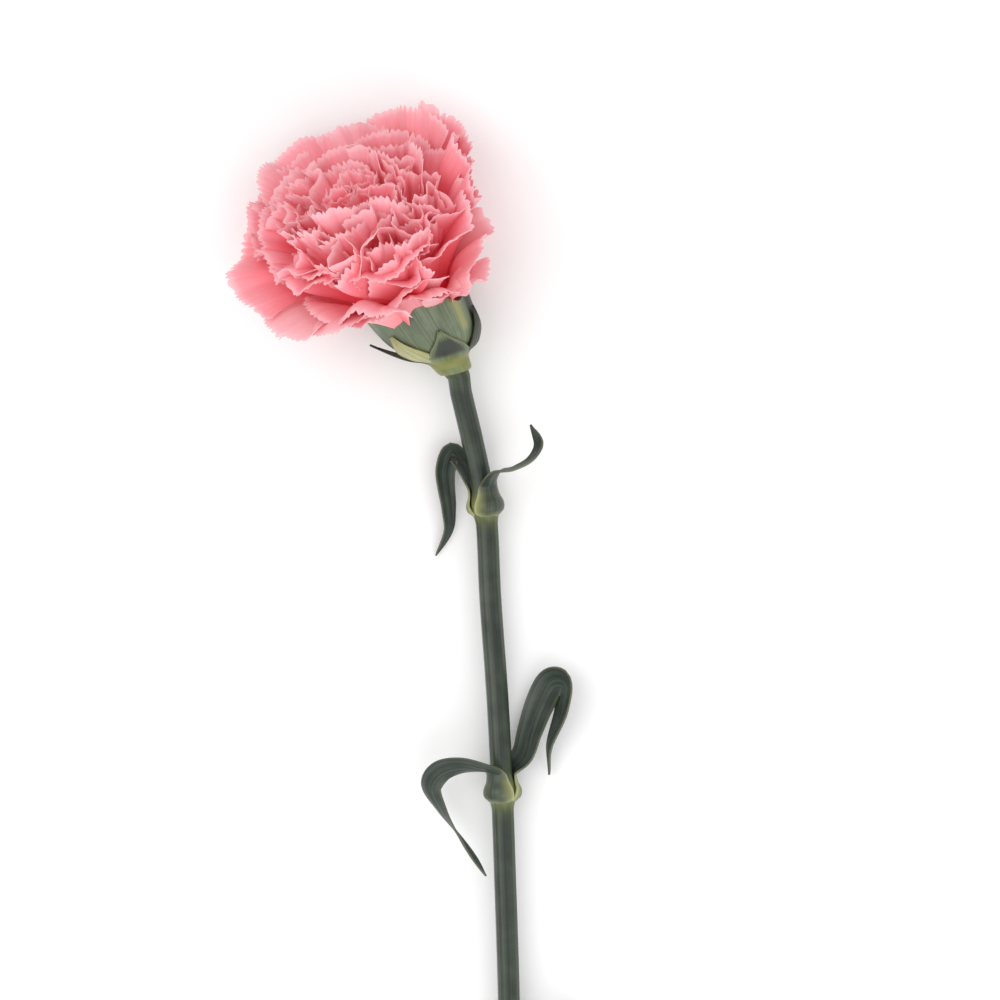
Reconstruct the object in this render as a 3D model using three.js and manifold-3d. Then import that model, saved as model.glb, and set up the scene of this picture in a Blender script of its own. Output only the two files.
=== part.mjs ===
// A cut carnation lying on a flat surface: a ruffled double bloom in its calyx, on a jointed
// stem with three pairs of narrow, curling leaves. Millimetres, +Z up, the stem along +Y.
// The origin is on the surface, under the flat where the bottom of the stem rests.

import * as THREE from "three";
import { mergeVertices } from "three/addons/utils/BufferGeometryUtils.js";
import Module from "manifold-3d";

const wasm = await Module();
wasm.setup();

// ---------------------------------------------------------------- driving dimensions

const CLEARANCE = 0.35; // gap that touching pieces keep

const STEM_RADIUS = 3.1;
const STEM_SIDES = 12;
const SURFACE_HEIGHT = STEM_RADIUS * Math.cos(Math.PI / STEM_SIDES); // axis height where the stem lies flat
const CUT_LENGTH = 6; // length of the slanted cut, along the stem
const JOINT_RADIUS = 3.95;
const JOINT_LENGTH = 5.2; // half length of a swollen joint

// The stem's end under the flower: radius and height along the calyx's axis. Its last part passes
// through the calyx's floor and carries the ovary.
const RECEPTACLE_PROFILE = [
  [3.1, -1.5],
  [3.7, 0.5],
  [3.9, 2],
  [3.9, 5],
  [3.0, 5],
  [3.0, 7.2],
];

// The stem's axis from the cut end to the base of the calyx.
const STEM_AXIS = [
  [0.2, -14, SURFACE_HEIGHT],
  [0, 0, SURFACE_HEIGHT],
  [0, 11, SURFACE_HEIGHT],
  [0.1, 17, SURFACE_HEIGHT + 0.12],
  [0.5, 34, 4.3],
  [0.9, 52, 5.8],
  [0.5, 83, 6.6],
  [-0.6, 118, 6.9],
  [-1.3, 137.9, 7.1],
  [-2.5, 162.5, 6.9],
  [-4.4, 189, 6.6],
  [-5.8, 213.9, 6.9],
  [-9.0, 230.4, 8.0],
  [-11.4, 240.6, 9.2],
  [-13.5, 249.4, 10.9],
];
const JOINTS_Y = [52, 137.9, 213.9]; // where the leaves grow

// The flower's two axes: heading from +Y towards -X, and elevation above the surface.
const CALYX_HEADING = 14;
const CALYX_ELEVATION = 14;
const CALYX_SKEW = 0.3; // how far the cup leans to its left for each millimetre of height
const PETALS_HEADING = 31;
const PETALS_ELEVATION = 32;

// Calyx: radius and height of the middle of its wall, from the hole in its floor to its mouth.
const CALYX_PROFILE = [
  [3.5, 5.9],
  [4.6, 5.9],
  [6.4, 6.5],
  [8.9, 7.8],
  [10.8, 9.8],
  [12.4, 12.8],
  [13.3, 16.2],
  [13.9, 19.6],
];
const CALYX_WALL = 1.0;
const TOOTH_COUNT = 5;
const TOOTH_SIDE = 36; // the side of the first tooth's tip
const TOOTH_HEIGHT = 6.5;
const TOOTH_SPREAD = 0.8;
const PETALS_HEIGHT = 17; // where the bloom's axis leaves the calyx's

// Epicalyx: its collar, and radius and height of the middle of a bract, up the outside of the calyx.
const COLLAR_PROFILE = [
  [4.25, 0.5],
  [4.75, 0.3],
  [5.25, 2.2],
  [5.3, 4.0],
  [4.9, 4.95],
  [4.25, 4.95],
  [4.25, 0.5],
];
const BRACT_PROFILE = [
  [4.8, 2.4],
  [5.25, 3.9],
  [6.95, 5.15],
  [9.75, 6.6],
  [11.95, 8.9],
  [13.7, 12.2],
  [14.65, 15.8],
  [15.3, 19.4],
];
const BRACT_THICKNESS = 0.8;
const BRACTS = [
  { side: 47, length: 17, width: 12, outer: 0.1, peel: 0.2 },
  { side: 230, length: 13.5, width: 11, outer: 0, peel: 0.2 },
  { side: 101, length: 14, width: 11.5, outer: 0.35, peel: 0.3 },
  { side: 277, length: 12, width: 10, outer: 0.2, peel: 0 },
  { side: 6, length: 15, width: 7.5, outer: 0.6, peel: 2.4 },
  { side: 162, length: 19, width: 7.5, outer: 0.6, peel: 0.2 },
];

const LEAF_THICKNESS = 0.8;
// How much of a leaf's width its blade has, from its sheath to its tip.
const BLADE_WIDTHS = [[0, 1], [0.12, 0.86], [0.4, 1], [0.7, 0.72], [0.9, 0.34], [1, 0.1]];
const PETAL_THICKNESS = 0.64;
const TOOTH_DEPTH = 0.8; // of a petal's edge
const GOLDEN_ANGLE = 137.508;
const HEART_PETAL_COUNT = 8;

// The rings of petals from the guards inwards. A ring gives how far from the axis its petals start,
// the length and half angle of their fans, how far they wrap round the axis, the depth and number of
// their folds, and the segments of a petal's edge. Each petal gives its side (degrees round the
// bloom's axis, 0 to the left, 90 up), the reach of its edge from the axis, its rise above the
// calyx's mouth, the direction it points in (0 along the axis, 90 straight out), its width, and its
// roll about its own length.
const RINGS = [
  {
    start: 8.4, fan: 32, halfAngle: 36, wrap: 0.15, fold: 2.2, waves: 1.5, segments: 7,
    petals: [
      [341, 40.5, 33, 90, 1, -26], [2, 38, 21, 104, 1, 0], [26, 33, 19, 112, 0.95, 8],
      [50, 30, 22, 110, 1, -8], [78, 27, 20, 106, 1, 6], [110, 23.5, 14, 110, 1.05, -14],
      [138, 25.5, 10, 104, 1.2, -18], [157, 29, 16.5, 94, 1.1, 10], [184, 31, 26, 78, 0.8, -20],
      [206, 35, 35, 66, 1, -6], [218, 39, 38.5, 60, 1, 8], [234, 38.5, 42.5, 50, 1, -4],
      [251, 36, 41, 54, 1, 10], [267, 37.5, 42.5, 52, 1, -8], [283, 37.5, 46, 48, 1, 8],
      [297, 36.5, 43, 52, 1, 0], [310, 35, 39, 60, 1, -10], [325, 32.5, 36, 70, 1, 6],
      [238, 31, 20, 100, 1.1, 0], [268, 30.5, 20, 100, 1.1, 6], [300, 32, 20, 100, 1.1, -6],
    ],
  },
  {
    start: 7, fan: 32, halfAngle: 33, wrap: 0.3, fold: 2.6, waves: 1.35, segments: 5,
    petals: [
      [355, 29.5, 34, 94, 1, 14], [28, 28, 33, 92, 1, -8], [58, 26.5, 35, 94, 1, 12],
      [84, 28, 30, 96, 1, -10], [111, 26, 27.5, 94, 0.95, 10], [141, 29.5, 28, 78, 1.1, -8],
      [167, 29, 30, 66, 1, -14], [191, 31, 34.5, 58, 1, 10], [212, 24, 41, 40, 1, -8],
      [240, 28, 43, 38, 1, 14], [272, 20, 46, 34, 1, -10], [299, 25.5, 45, 40, 1, 12],
      [326, 28.5, 43, 48, 1, -14], [134, 21.5, 32, 22, 0.95, -16], [44, 22, 39, 10, 1, 12],
      [76, 21.5, 36.5, 2, 1.05, -8], [106, 21, 34, 6, 1, 10],
    ],
  },
  {
    start: 5.4, fan: 36, halfAngle: 25, wrap: 0.5, fold: 2.2, waves: 1.3, segments: 3,
    petals: [
      [48, 11.5, 48, -8, 1, 8], [85, 11, 45, -6, 1, -16], [115, 14, 40, 4, 1, -30],
      [151, 14, 40, 12, 1, 16], [12, 14.5, 47, 4, 1, -14], [318, 15, 47, 22, 1, 22],
      [290, 13, 46.5, 24, 1, -18], [220, 15, 45, 28, 1, 16], [250, 16, 46, 28, 1, -20],
      [182, 15, 42, 22, 1, -10], [64, 16, 43.5, 0, 1.1, 12], [26, 18, 43.5, 6, 1, -12],
      [96, 16.5, 40, 2, 1.1, 28], [132, 17.5, 36, 14, 1, -12],
    ],
  },
  {
    start: 2.6, fan: 20, halfAngle: 32, wrap: 0.6, fold: 2.9, waves: 1.4, segments: 3,
    petals: heartPetals(),
  },
];

// Each leaf: the stem joint it grows from, the side of the stem (degrees round the stem's axis, 0 to
// the left, 90 up), the line of its blade's middle, its width, and the turn of its blade to the tip.
const LEAVES = [
  {
    name: "leaf_top_right",
    joint: 2,
    side: 125,
    line: [
      [-2.6, 222.6, 14.2],
      [1.8, 223.4, 15.6],
      [6.6, 226, 14.6],
      [8.4, 230, 12.4],
      [6.2, 235.4, 10.6],
    ],
    width: 6.4,
    twist: 20,
  },
  {
    name: "leaf_top_left",
    joint: 2,
    side: -55,
    line: [
      [-12, 225, 2.8],
      [-14.8, 228, 3.6],
      [-16.6, 223.6, 4.4],
      [-15.6, 213, 4],
      [-15.6, 207.6, 3],
      [-19, 200.7, 1],
    ],
    width: 6,
    twist: -40,
  },
  {
    name: "leaf_middle_left",
    joint: 1,
    side: 58,
    line: [
      [-6.6, 144.2, 14.6],
      [-12, 145, 15],
      [-17.6, 143.6, 13.6],
      [-20.4, 139.6, 11.6],
      [-17.6, 133.2, 9.8],
      [-12.2, 125.6, 9.6],
      [-5.6, 116, 11.6],
    ],
    width: 6.4,
    twist: 180,
  },
  {
    name: "leaf_middle_right",
    joint: 1,
    side: 219,
    line: [
      [4.6, 147, 4.4],
      [6.4, 153.6, 4.2],
      [9, 161.2, 4],
      [12.1, 166.8, 5.2],
      [15.4, 166.7, 8],
      [15, 160, 8],
      [11.2, 149.6, 5],
      [11.2, 142.3, 2.3],
    ],
    width: 9.2,
    twist: 42,
  },
  {
    name: "leaf_bottom_left",
    joint: 0,
    side: -48,
    line: [
      [-5.4, 62, 3.2],
      [-9, 69, 5.4],
      [-14.6, 74, 6.2],
      [-21, 73, 4.4],
      [-25.6, 66, 2.2],
      [-28, 57, 0.9],
    ],
    width: 6.8,
    twist: 25,
  },
  {
    name: "leaf_bottom_right",
    joint: 0,
    side: 132,
    line: [
      [5.6, 61, 10.6],
      [10, 68.6, 12.6],
      [16.4, 73.6, 11.2],
      [23.4, 72.4, 7],
      [28.2, 65.6, 2.9],
      [30.6, 57, 1],
    ],
    width: 6.8,
    twist: -25,
  },
];

// ---------------------------------------------------------------- small helpers

const vec = (x, y, z) => new THREE.Vector3(x, y, z);
const radians = THREE.MathUtils.degToRad;
const mix = THREE.MathUtils.lerp;

/** A repeatable random number from 0 to 1 for a piece's number and a stream of draws. */
function draw(index, stream) {
  const wide = Math.sin((index + 1) * 12.9898 + stream * 78.233) * 43758.5453;
  return wide - Math.floor(wide);
}

/** The value at x of a polyline through rows of [x, y], held flat past its ends. */
function interpolate(table, x) {
  if (x <= table[0][0]) return table[0][1];
  for (let i = 1; i < table.length; i++) {
    const [x0, y0] = table[i - 1];
    const [x1, y1] = table[i];
    if (x <= x1) return mix(y0, y1, (x - x0) / (x1 - x0));
  }
  return table[table.length - 1][1];
}

/** The point at share t of a profile's length, for a profile of [radius, height]. */
function alongProfile(profile, t) {
  const path = new THREE.CurvePath();
  for (let i = 1; i < profile.length; i++) {
    const [from, to] = [profile[i - 1], profile[i]].map((p) => new THREE.Vector2(...p));
    path.add(new THREE.LineCurve(from, to));
  }
  return path.getPointAt(THREE.MathUtils.clamp(t, 0, 1));
}

/** A frame at a point: Z along an axis (heading, elevation) that may lean to its left, Y upwards. */
function axisFrame(origin, heading, elevation, skew = 0) {
  const [h, e] = [radians(heading), radians(elevation)];
  const axis = vec(-Math.sin(h) * Math.cos(e), Math.cos(h) * Math.cos(e), Math.sin(e));
  const left = vec(0, 0, 1).cross(axis).normalize();
  const up = axis.clone().cross(left);
  return new THREE.Matrix4().makeBasis(left, up, axis.addScaledVector(left, skew)).setPosition(origin);
}

/** An indexed sheet through rows of points, which may hold different numbers of points. */
function sheetGeometry(rows, closedRound = false) {
  const starts = [];
  const points = [];
  for (const row of rows) {
    starts.push(points.length);
    points.push(...row);
  }
  const index = [];
  for (let r = 1; r < rows.length; r++) {
    const [below, above] = [rows[r - 1].length, rows[r].length];
    const [segmentsBelow, segmentsAbove] = closedRound ? [below, above] : [below - 1, above - 1];
    let [i, j] = [0, 0];
    while (i < segmentsBelow || j < segmentsAbove) {
      const a = starts[r - 1] + (i % below);
      const b = starts[r] + (j % above);
      const moveBelow =
        j === segmentsAbove || (i < segmentsBelow && (i + 1) / segmentsBelow <= (j + 1) / segmentsAbove);
      if (moveBelow) {
        index.push(a, starts[r - 1] + ((i + 1) % below), b);
        i += 1;
      } else {
        index.push(a, starts[r] + ((j + 1) % above), b);
        j += 1;
      }
    }
  }
  return new THREE.BufferGeometry().setFromPoints(points).setIndex(index);
}

/** A sheet given a thickness: both faces are split into the same triangles, and every open edge is walled. */
function thicken(sheet, thickness) {
  sheet.computeVertexNormals();
  const position = sheet.getAttribute("position");
  const normal = sheet.getAttribute("normal");
  const count = position.count;
  const points = [];
  for (const side of [0.5, -0.5]) {
    for (let i = 0; i < count; i++) {
      const offset = vec().fromBufferAttribute(normal, i).multiplyScalar(side * thickness);
      points.push(vec().fromBufferAttribute(position, i).add(offset));
    }
  }
  const faces = sheet.index.array;
  const edges = new Set();
  for (let f = 0; f < faces.length; f += 3) {
    for (let k = 0; k < 3; k++) edges.add(faces[f + k] + "," + faces[f + ((k + 1) % 3)]);
  }
  const index = [];
  for (let f = 0; f < faces.length; f += 3) {
    const [a, b, c] = [faces[f], faces[f + 1], faces[f + 2]];
    index.push(a, b, c, a + count, c + count, b + count);
  }
  for (const edge of edges) {
    const [a, b] = edge.split(",").map(Number);
    if (!edges.has(b + "," + a)) index.push(a, a + count, b + count, a, b + count, b);
  }
  return new THREE.BufferGeometry().setFromPoints(points).setIndex(index);
}

/** A closed solid through rings of points that all have the same count. */
function loftGeometry(rings) {
  const around = rings[0].length;
  const points = rings.flat();
  const index = [];
  for (let r = 1; r < rings.length; r++) {
    for (let i = 0; i < around; i++) {
      const [a, b] = [(r - 1) * around + i, (r - 1) * around + ((i + 1) % around)];
      const [c, d] = [a + around, b + around];
      index.push(a, b, d, a, d, c);
    }
  }
  for (const [r, turn] of [[0, -1], [rings.length - 1, 1]]) {
    const centre = rings[r].reduce((sum, p) => sum.add(p), vec(0, 0, 0)).divideScalar(around);
    points.push(centre);
    for (let i = 0; i < around; i++) {
      const [a, b] = [r * around + i, r * around + ((i + 1) % around)];
      index.push(...(turn > 0 ? [a, b, points.length - 1] : [b, a, points.length - 1]));
    }
  }
  return new THREE.BufferGeometry().setFromPoints(points).setIndex(index);
}

/** The manifold-3d solid of a closed geometry. */
function toSolid(geometry) {
  const plain = geometry.clone();
  plain.deleteAttribute("normal");
  plain.deleteAttribute("uv");
  const merged = mergeVertices(plain, 1e-4);
  return new wasm.Manifold(
    new wasm.Mesh({
      numProp: 3,
      vertProperties: new Float32Array(merged.getAttribute("position").array),
      triVerts: new Uint32Array(merged.index.array),
    }),
  );
}

/** The geometry of the largest body of a manifold-3d solid, with loose scraps and sealed hollows left out. */
function toGeometry(solid) {
  const bodies = solid.decompose();
  const largest = bodies.reduce((best, body) => (body.volume() > best.volume() ? body : best));
  const mesh = largest.getMesh();
  const points = [];
  for (let i = 0; i < mesh.numVert; i++) {
    points.push(vec(...mesh.vertProperties.subarray(i * mesh.numProp, i * mesh.numProp + 3)));
  }
  return new THREE.BufferGeometry().setFromPoints(points).setIndex([...mesh.triVerts]);
}

/** A lathe solid about Z from a closed profile of [radius, height]. */
function lathe(profile, sides) {
  const made = new THREE.LatheGeometry(profile.map((p) => new THREE.Vector2(...p)), sides);
  return toSolid(made.rotateX(Math.PI / 2));
}

// ---------------------------------------------------------------- stem

const stemCurve = new THREE.CatmullRomCurve3(STEM_AXIS.map((p) => vec(...p)), false, "centripetal");
const stemTop = vec(...STEM_AXIS[STEM_AXIS.length - 1]);
const calyxFrame = axisFrame(stemTop, CALYX_HEADING, CALYX_ELEVATION, CALYX_SKEW);

/** Centre, left, up and forward directions of the stem where it passes a given Y. */
function stemAt(y) {
  let [low, high] = [0, 1];
  for (let step = 0; step < 40; step++) {
    const middle = (low + high) / 2;
    if (stemCurve.getPoint(middle).y < y) low = middle;
    else high = middle;
  }
  const forward = stemCurve.getTangent(low);
  const left = vec(0, 0, 1).cross(forward).normalize();
  return { centre: stemCurve.getPoint(low), left, up: forward.clone().cross(left), forward };
}

/** The stem's radius where it passes a given Y: even, and swollen at each joint. */
function stemRadius(y) {
  let radius = STEM_RADIUS;
  for (const joint of JOINTS_Y) {
    const away = (y - joint) / JOINT_LENGTH;
    if (Math.abs(away) < 1) radius += (JOINT_RADIUS - STEM_RADIUS) * Math.cos((away * Math.PI) / 2) ** 2;
  }
  return radius;
}

/** One ring of the stem. A flat side faces down, so that the stem can lie on it. */
function stemRing(frame, radius) {
  const ring = [];
  for (let i = 0; i < STEM_SIDES; i++) {
    const angle = ((i + 0.5) / STEM_SIDES) * 2 * Math.PI;
    ring.push(
      frame.centre
        .clone()
        .addScaledVector(frame.left, radius * Math.cos(angle))
        .addScaledVector(frame.up, radius * Math.sin(angle)),
    );
  }
  return ring;
}

/** The stem, from its slanted cut to the receptacle that carries the flower. */
function stemGeometry() {
  const firstY = STEM_AXIS[0][1];
  const lastY = 245;
  const stations = [];
  for (let y = firstY + CUT_LENGTH; y < lastY; y += 14) stations.push(y);
  for (const joint of JOINTS_Y) {
    for (const share of [-1, -0.6, -0.25, 0.25, 0.6, 1]) stations.push(joint + share * JOINT_LENGTH);
  }
  stations.sort((a, b) => a - b);
  const spaced = stations.filter((y, i) => i === 0 || y - stations[i - 1] > 0.8);
  const rings = spaced.map((y) => stemRing(stemAt(y), stemRadius(y)));

  const slant = stemRing(stemAt(firstY), STEM_RADIUS);
  for (const point of slant) point.y += CUT_LENGTH * (0.5 + (point.z - SURFACE_HEIGHT) / (2 * STEM_RADIUS));
  rings.unshift(slant.map((point) => point.setY(Math.min(point.y, firstY + CUT_LENGTH - 0.4))));

  const [left, up, forward] = [vec(), vec(), vec()];
  calyxFrame.extractBasis(left, up, forward);
  for (const [radius, height] of RECEPTACLE_PROFILE) {
    const centre = vec(0, 0, height).applyMatrix4(calyxFrame);
    rings.push(stemRing({ centre, left, up }, radius));
  }
  return loftGeometry(rings);
}

// ---------------------------------------------------------------- leaves

/** A leaf: a sheath that clasps half of a stem joint, and a channelled blade that tapers to its tip. */
function leafGeometry({ joint, side, line, width, twist }) {
  const sheathRows = 4;
  const bladeRows = 18;
  const columns = 4;
  const sheathSweep = 2.6; // radians of the stem that the sheath clasps
  const sheathLength = 7.5;
  const angle = radians(side);
  const rows = [];
  const spine = [];
  let outward;
  let sheathRadius;
  for (let i = 0; i < sheathRows; i++) {
    const y = JOINTS_Y[joint] - 2.6 + (sheathLength * i) / (sheathRows - 1);
    const frame = stemAt(y);
    sheathRadius = stemRadius(y) + CLEARANCE + LEAF_THICKNESS / 2 + 0.12 + 0.1 * i;
    outward = frame.left.clone().multiplyScalar(Math.cos(angle)).addScaledVector(frame.up, Math.sin(angle));
    const aside = frame.forward.clone().cross(outward);
    const sweep = sheathSweep * (1 - 0.13 * i);
    const row = [];
    for (let c = 0; c <= columns; c++) {
      const turn = (c / columns - 0.5) * sweep;
      row.push(
        frame.centre
          .clone()
          .addScaledVector(outward, sheathRadius * Math.cos(turn))
          .addScaledVector(aside, sheathRadius * Math.sin(turn)),
      );
    }
    rows.push(row);
    spine.push(frame.centre.clone().addScaledVector(outward, sheathRadius));
  }

  const knots = [...spine.slice(-2), ...line.map((point) => vec(...point))];
  const curve = new THREE.CatmullRomCurve3(knots, false, "centripetal");
  const startsAt = spine.at(-1).distanceTo(spine.at(-2)) / curve.getLength();
  const facing = outward.clone();
  for (let i = 1; i <= bladeRows; i++) {
    const share = i / bladeRows;
    const at = mix(startsAt, 1, share);
    const forward = curve.getTangentAt(at);
    facing.addScaledVector(forward, -facing.dot(forward)).normalize();
    const turned = facing.clone().applyAxisAngle(forward, radians(twist) * share);
    const aside = forward.clone().cross(turned);
    const bladeWidth = width * interpolate(BLADE_WIDTHS, share);
    const channelRadius = mix(sheathRadius, width * 1.1, Math.min(1, share * 3));
    const centre = curve.getPointAt(at);
    const row = [];
    for (let c = 0; c <= columns; c++) {
      const turn = ((c / columns - 0.5) * bladeWidth) / channelRadius;
      row.push(
        centre
          .clone()
          .addScaledVector(turned, channelRadius * (Math.cos(turn) - 1))
          .addScaledVector(aside, channelRadius * Math.sin(turn)),
      );
    }
    rows.push(row);
  }
  for (const point of rows.flat()) {
    const { centre } = stemAt(point.y);
    const reach = stemRadius(point.y) + CLEARANCE + LEAF_THICKNESS / 2 + 0.12;
    const fromStem = point.clone().sub(centre);
    if (fromStem.length() < reach) point.copy(centre).addScaledVector(fromStem.normalize(), reach);
    point.z = Math.max(point.z, LEAF_THICKNESS / 2);
  }
  return thicken(sheetGeometry(rows), LEAF_THICKNESS);
}

// ---------------------------------------------------------------- calyx and epicalyx

/** The middle of the calyx's wall: a cup with a hole in its floor and five teeth, taller if asked. */
function calyxSheet(taller = 0) {
  const columns = TOOTH_COUNT * 6;
  const ring = (radiusAt, heightAt) => {
    const row = [];
    for (let c = 0; c < columns; c++) {
      const angle = radians(TOOTH_SIDE) + (c / columns) * 2 * Math.PI;
      const point = Math.abs(((c / 6) % 1) - 0.5) * 2; // 0 between two teeth, 1 at a tooth's tip
      row.push(vec(radiusAt(point) * Math.cos(angle), radiusAt(point) * Math.sin(angle), heightAt(point)));
    }
    return row;
  };
  const rows = CALYX_PROFILE.map(([radius, height]) => ring(() => radius, () => height));
  const [mouthRadius, mouthHeight] = CALYX_PROFILE.at(-1);
  rows.push(
    ring(
      (point) => mouthRadius + 0.2 + TOOTH_SPREAD * point,
      (point) => mouthHeight + 0.6 + TOOTH_HEIGHT * point + taller,
    ),
  );
  return sheetGeometry(rows, true);
}

/** One bract, hugging the calyx from the collar to its own pointed tip, which may peel away. */
function bractGeometry({ side, length, width, outer, peel }) {
  const rowCount = 6;
  const columns = 3;
  const profileLength = 21;
  const outline = [[0, 0.8], [0.2, 0.95], [0.4, 1], [0.62, 0.8], [0.82, 0.36], [1, 0.07]];
  const rows = [];
  for (let i = 0; i <= rowCount; i++) {
    const share = i / rowCount;
    const { x: radius, y: height } = alongProfile(BRACT_PROFILE, (share * length) / profileLength);
    const away = radius + outer * Math.min(1, share * 3) + peel * share ** 3;
    const halfTurn = (width * interpolate(outline, share)) / 2 / radius;
    const row = [];
    for (let c = 0; c <= columns; c++) {
      const angle = radians(side) + (c / columns - 0.5) * 2 * halfTurn;
      row.push(vec(away * Math.cos(angle), away * Math.sin(angle), height - 0.25 * peel * share ** 3));
    }
    rows.push(row);
  }
  return thicken(sheetGeometry(rows), BRACT_THICKNESS);
}

/** The epicalyx: four bracts fused to a collar round the receptacle. */
function epicalyxGeometry() {
  const collar = lathe(COLLAR_PROFILE, 24);
  return toGeometry(wasm.Manifold.union([collar, ...BRACTS.map((bract) => toSolid(bractGeometry(bract)))]));
}

// ---------------------------------------------------------------- bloom

const petalsBase = vec(0, 0, PETALS_HEIGHT).applyMatrix4(calyxFrame);
const petalsFrame = axisFrame(petalsBase, PETALS_HEADING, PETALS_ELEVATION);

/** The small petals of the heart, scattered round the axis. */
function heartPetals() {
  const petals = [];
  for (let k = 0; k < HEART_PETAL_COUNT; k++) {
    const age = (k + 0.5) / HEART_PETAL_COUNT;
    const reach = 11 - 9.5 * age ** 0.8;
    const rise = 44.5 + 4 * (draw(k, 50) - 0.5);
    petals.push([k * GOLDEN_ANGLE, reach, rise, 30 - 24 * age, 1, 150 * (draw(k, 51) - 0.5)]);
  }
  return petals;
}

/** The middle line and the folds of one petal of a ring. */
function petalTraits(ring, number, [side, reach, rise, lean, width, roll]) {
  const start = new THREE.Vector2(ring.start, -3);
  const tip = new THREE.Vector2(reach, rise);
  const stretch = start.distanceTo(tip);
  const leaning = (degrees) => new THREE.Vector2(Math.sin(radians(degrees)), Math.cos(radians(degrees)));
  return {
    azimuth: radians(side),
    spin: radians(roll),
    length: 1.08 * stretch,
    fan: Math.min(ring.fan, 1.02 * stretch),
    halfAngle: radians(ring.halfAngle * width),
    wrap: ring.wrap,
    fold: ring.fold * (0.5 + draw(number, 6)),
    waves: ring.waves + 0.5 * (draw(number, 7) - 0.5),
    phase: 2 * Math.PI * draw(number, 8),
    secondPhase: 2 * Math.PI * draw(number, 9),
    cup: 5 * (draw(number, 10) - 0.4),
    middle: new THREE.CubicBezierCurve(
      start,
      start.clone().addScaledVector(leaning(Math.min(24, 0.3 * reach)), 0.42 * stretch),
      tip.clone().addScaledVector(leaning(lean), -0.38 * stretch),
      tip,
    ),
  };
}

/** A point of a petal's middle: reach is 0 where the fan starts and 1 at its edge, across is -1 to 1. */
function petalPoint(traits, reach, across, edge = 0) {
  const radius = Math.max(0, reach) * traits.fan * (1 - 0.1 * across ** 2 - 0.08 * across ** 6) + edge;
  const spread = across * traits.halfAngle;
  const claw = traits.length - traits.fan;
  const along = claw * (reach < 0 ? 1 + reach : 1) + radius * Math.cos(spread);
  const centre = traits.middle.getPoint(along / traits.length);
  const tangent = traits.middle.getTangent(along / traits.length);

  const share = radius / traits.fan;
  const wave =
    Math.sin(Math.PI * traits.waves * across + traits.phase) +
    0.45 * Math.sin(Math.PI * 1.9 * traits.waves * across + traits.secondPhase);
  const flatAside = radius * Math.sin(spread) + across * 1.4;
  const flatLift = traits.fold * share ** 1.25 * wave + traits.cup * share * across ** 2;
  const aside = flatAside * Math.cos(traits.spin) - flatLift * Math.sin(traits.spin);
  const lift = flatAside * Math.sin(traits.spin) + flatLift * Math.cos(traits.spin);

  const out = centre.x - tangent.y * lift;
  const up = centre.y + tangent.x * lift;
  const turn = aside / Math.max(out, 5);
  const x = mix(out, out * Math.cos(turn), traits.wrap);
  const y = mix(aside, out * Math.sin(turn), traits.wrap);
  const [c, s] = [Math.cos(traits.azimuth), Math.sin(traits.azimuth)];
  return vec(x * c - y * s, x * s + y * c, up);
}

/** One petal, with its folds and its toothed edge, pressed flat where it meets the surface. */
function petalSolid(ring, number, petal) {
  const traits = petalTraits(ring, number, petal);
  const pressed = 0.7; // how softly the surface flattens what would pass below it
  const bend = ring.segments > 4 ? [[0, 2], [0.5, ring.segments - 1]] : [[0.4, ring.segments - 1]];
  const rowPlan = [[-0.75, 1], ...bend, [1, ring.segments]];
  const rows = rowPlan.map(([reach, segments]) => {
    const row = [];
    for (let c = 0; c <= segments; c++) {
      const across = (2 * c) / segments - 1;
      const sweep = 0.8 * (1 + Math.sin(3.4 * across + 6.3 * draw(number, 33)));
      const edge = reach === 1 ? -sweep - (c % 2 ? TOOTH_DEPTH : 0) : 0;
      const point = petalPoint(traits, reach, across, edge).applyMatrix4(petalsFrame);
      const above = (point.z - PETAL_THICKNESS / 2) / pressed;
      if (above < 20) point.z = PETAL_THICKNESS / 2 + pressed * Math.log(1 + Math.exp(above));
      row.push(point);
    }
    return row;
  });
  return toSolid(thicken(sheetGeometry(rows), PETAL_THICKNESS));
}

/** The bundle of petal claws: it fills the calyx, and rises as a blunt cone inside the petals. */
function clawBundle() {
  const inCalyx = [
    [3.4, 7.6],
    [5.2, 7.6],
    [7.7, 9.4],
    [9.8, 11.6],
    [11.5, 14.5],
    [12.3, 17.4],
    [8.0, 19.5],
    [3.4, 19.5],
    [3.4, 7.6],
  ];
  const beyond = [
    [0, -5],
    [8, -5],
    [10.5, 0],
    [12.5, 8],
    [19, 16],
    [22.5, 24],
    [21.5, 32],
    [14.5, 39],
    [0, 41.5],
  ];
  return wasm.Manifold.union([
    lathe(inCalyx, 20).transform(calyxFrame.elements),
    lathe(beyond, 20).transform(petalsFrame.elements),
  ]);
}

/** The petals, joined at their claws into one body. */
function petalsGeometry() {
  const petals = [];
  for (const ring of RINGS) {
    for (const petal of ring.petals) petals.push(petalSolid(ring, petals.length, petal));
  }
  const joined = wasm.Manifold.union([clawBundle(), ...petals]);
  const calyxRoom = toSolid(thicken(calyxSheet(2 * CLEARANCE), CALYX_WALL + 2 * CLEARANCE));
  const pistilRoom = ovarySolid(2 * CLEARANCE);
  return toGeometry(
    joined
      .subtract(calyxRoom.transform(calyxFrame.elements))
      .subtract(pistilRoom.transform(calyxFrame.elements)),
  );
}

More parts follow.
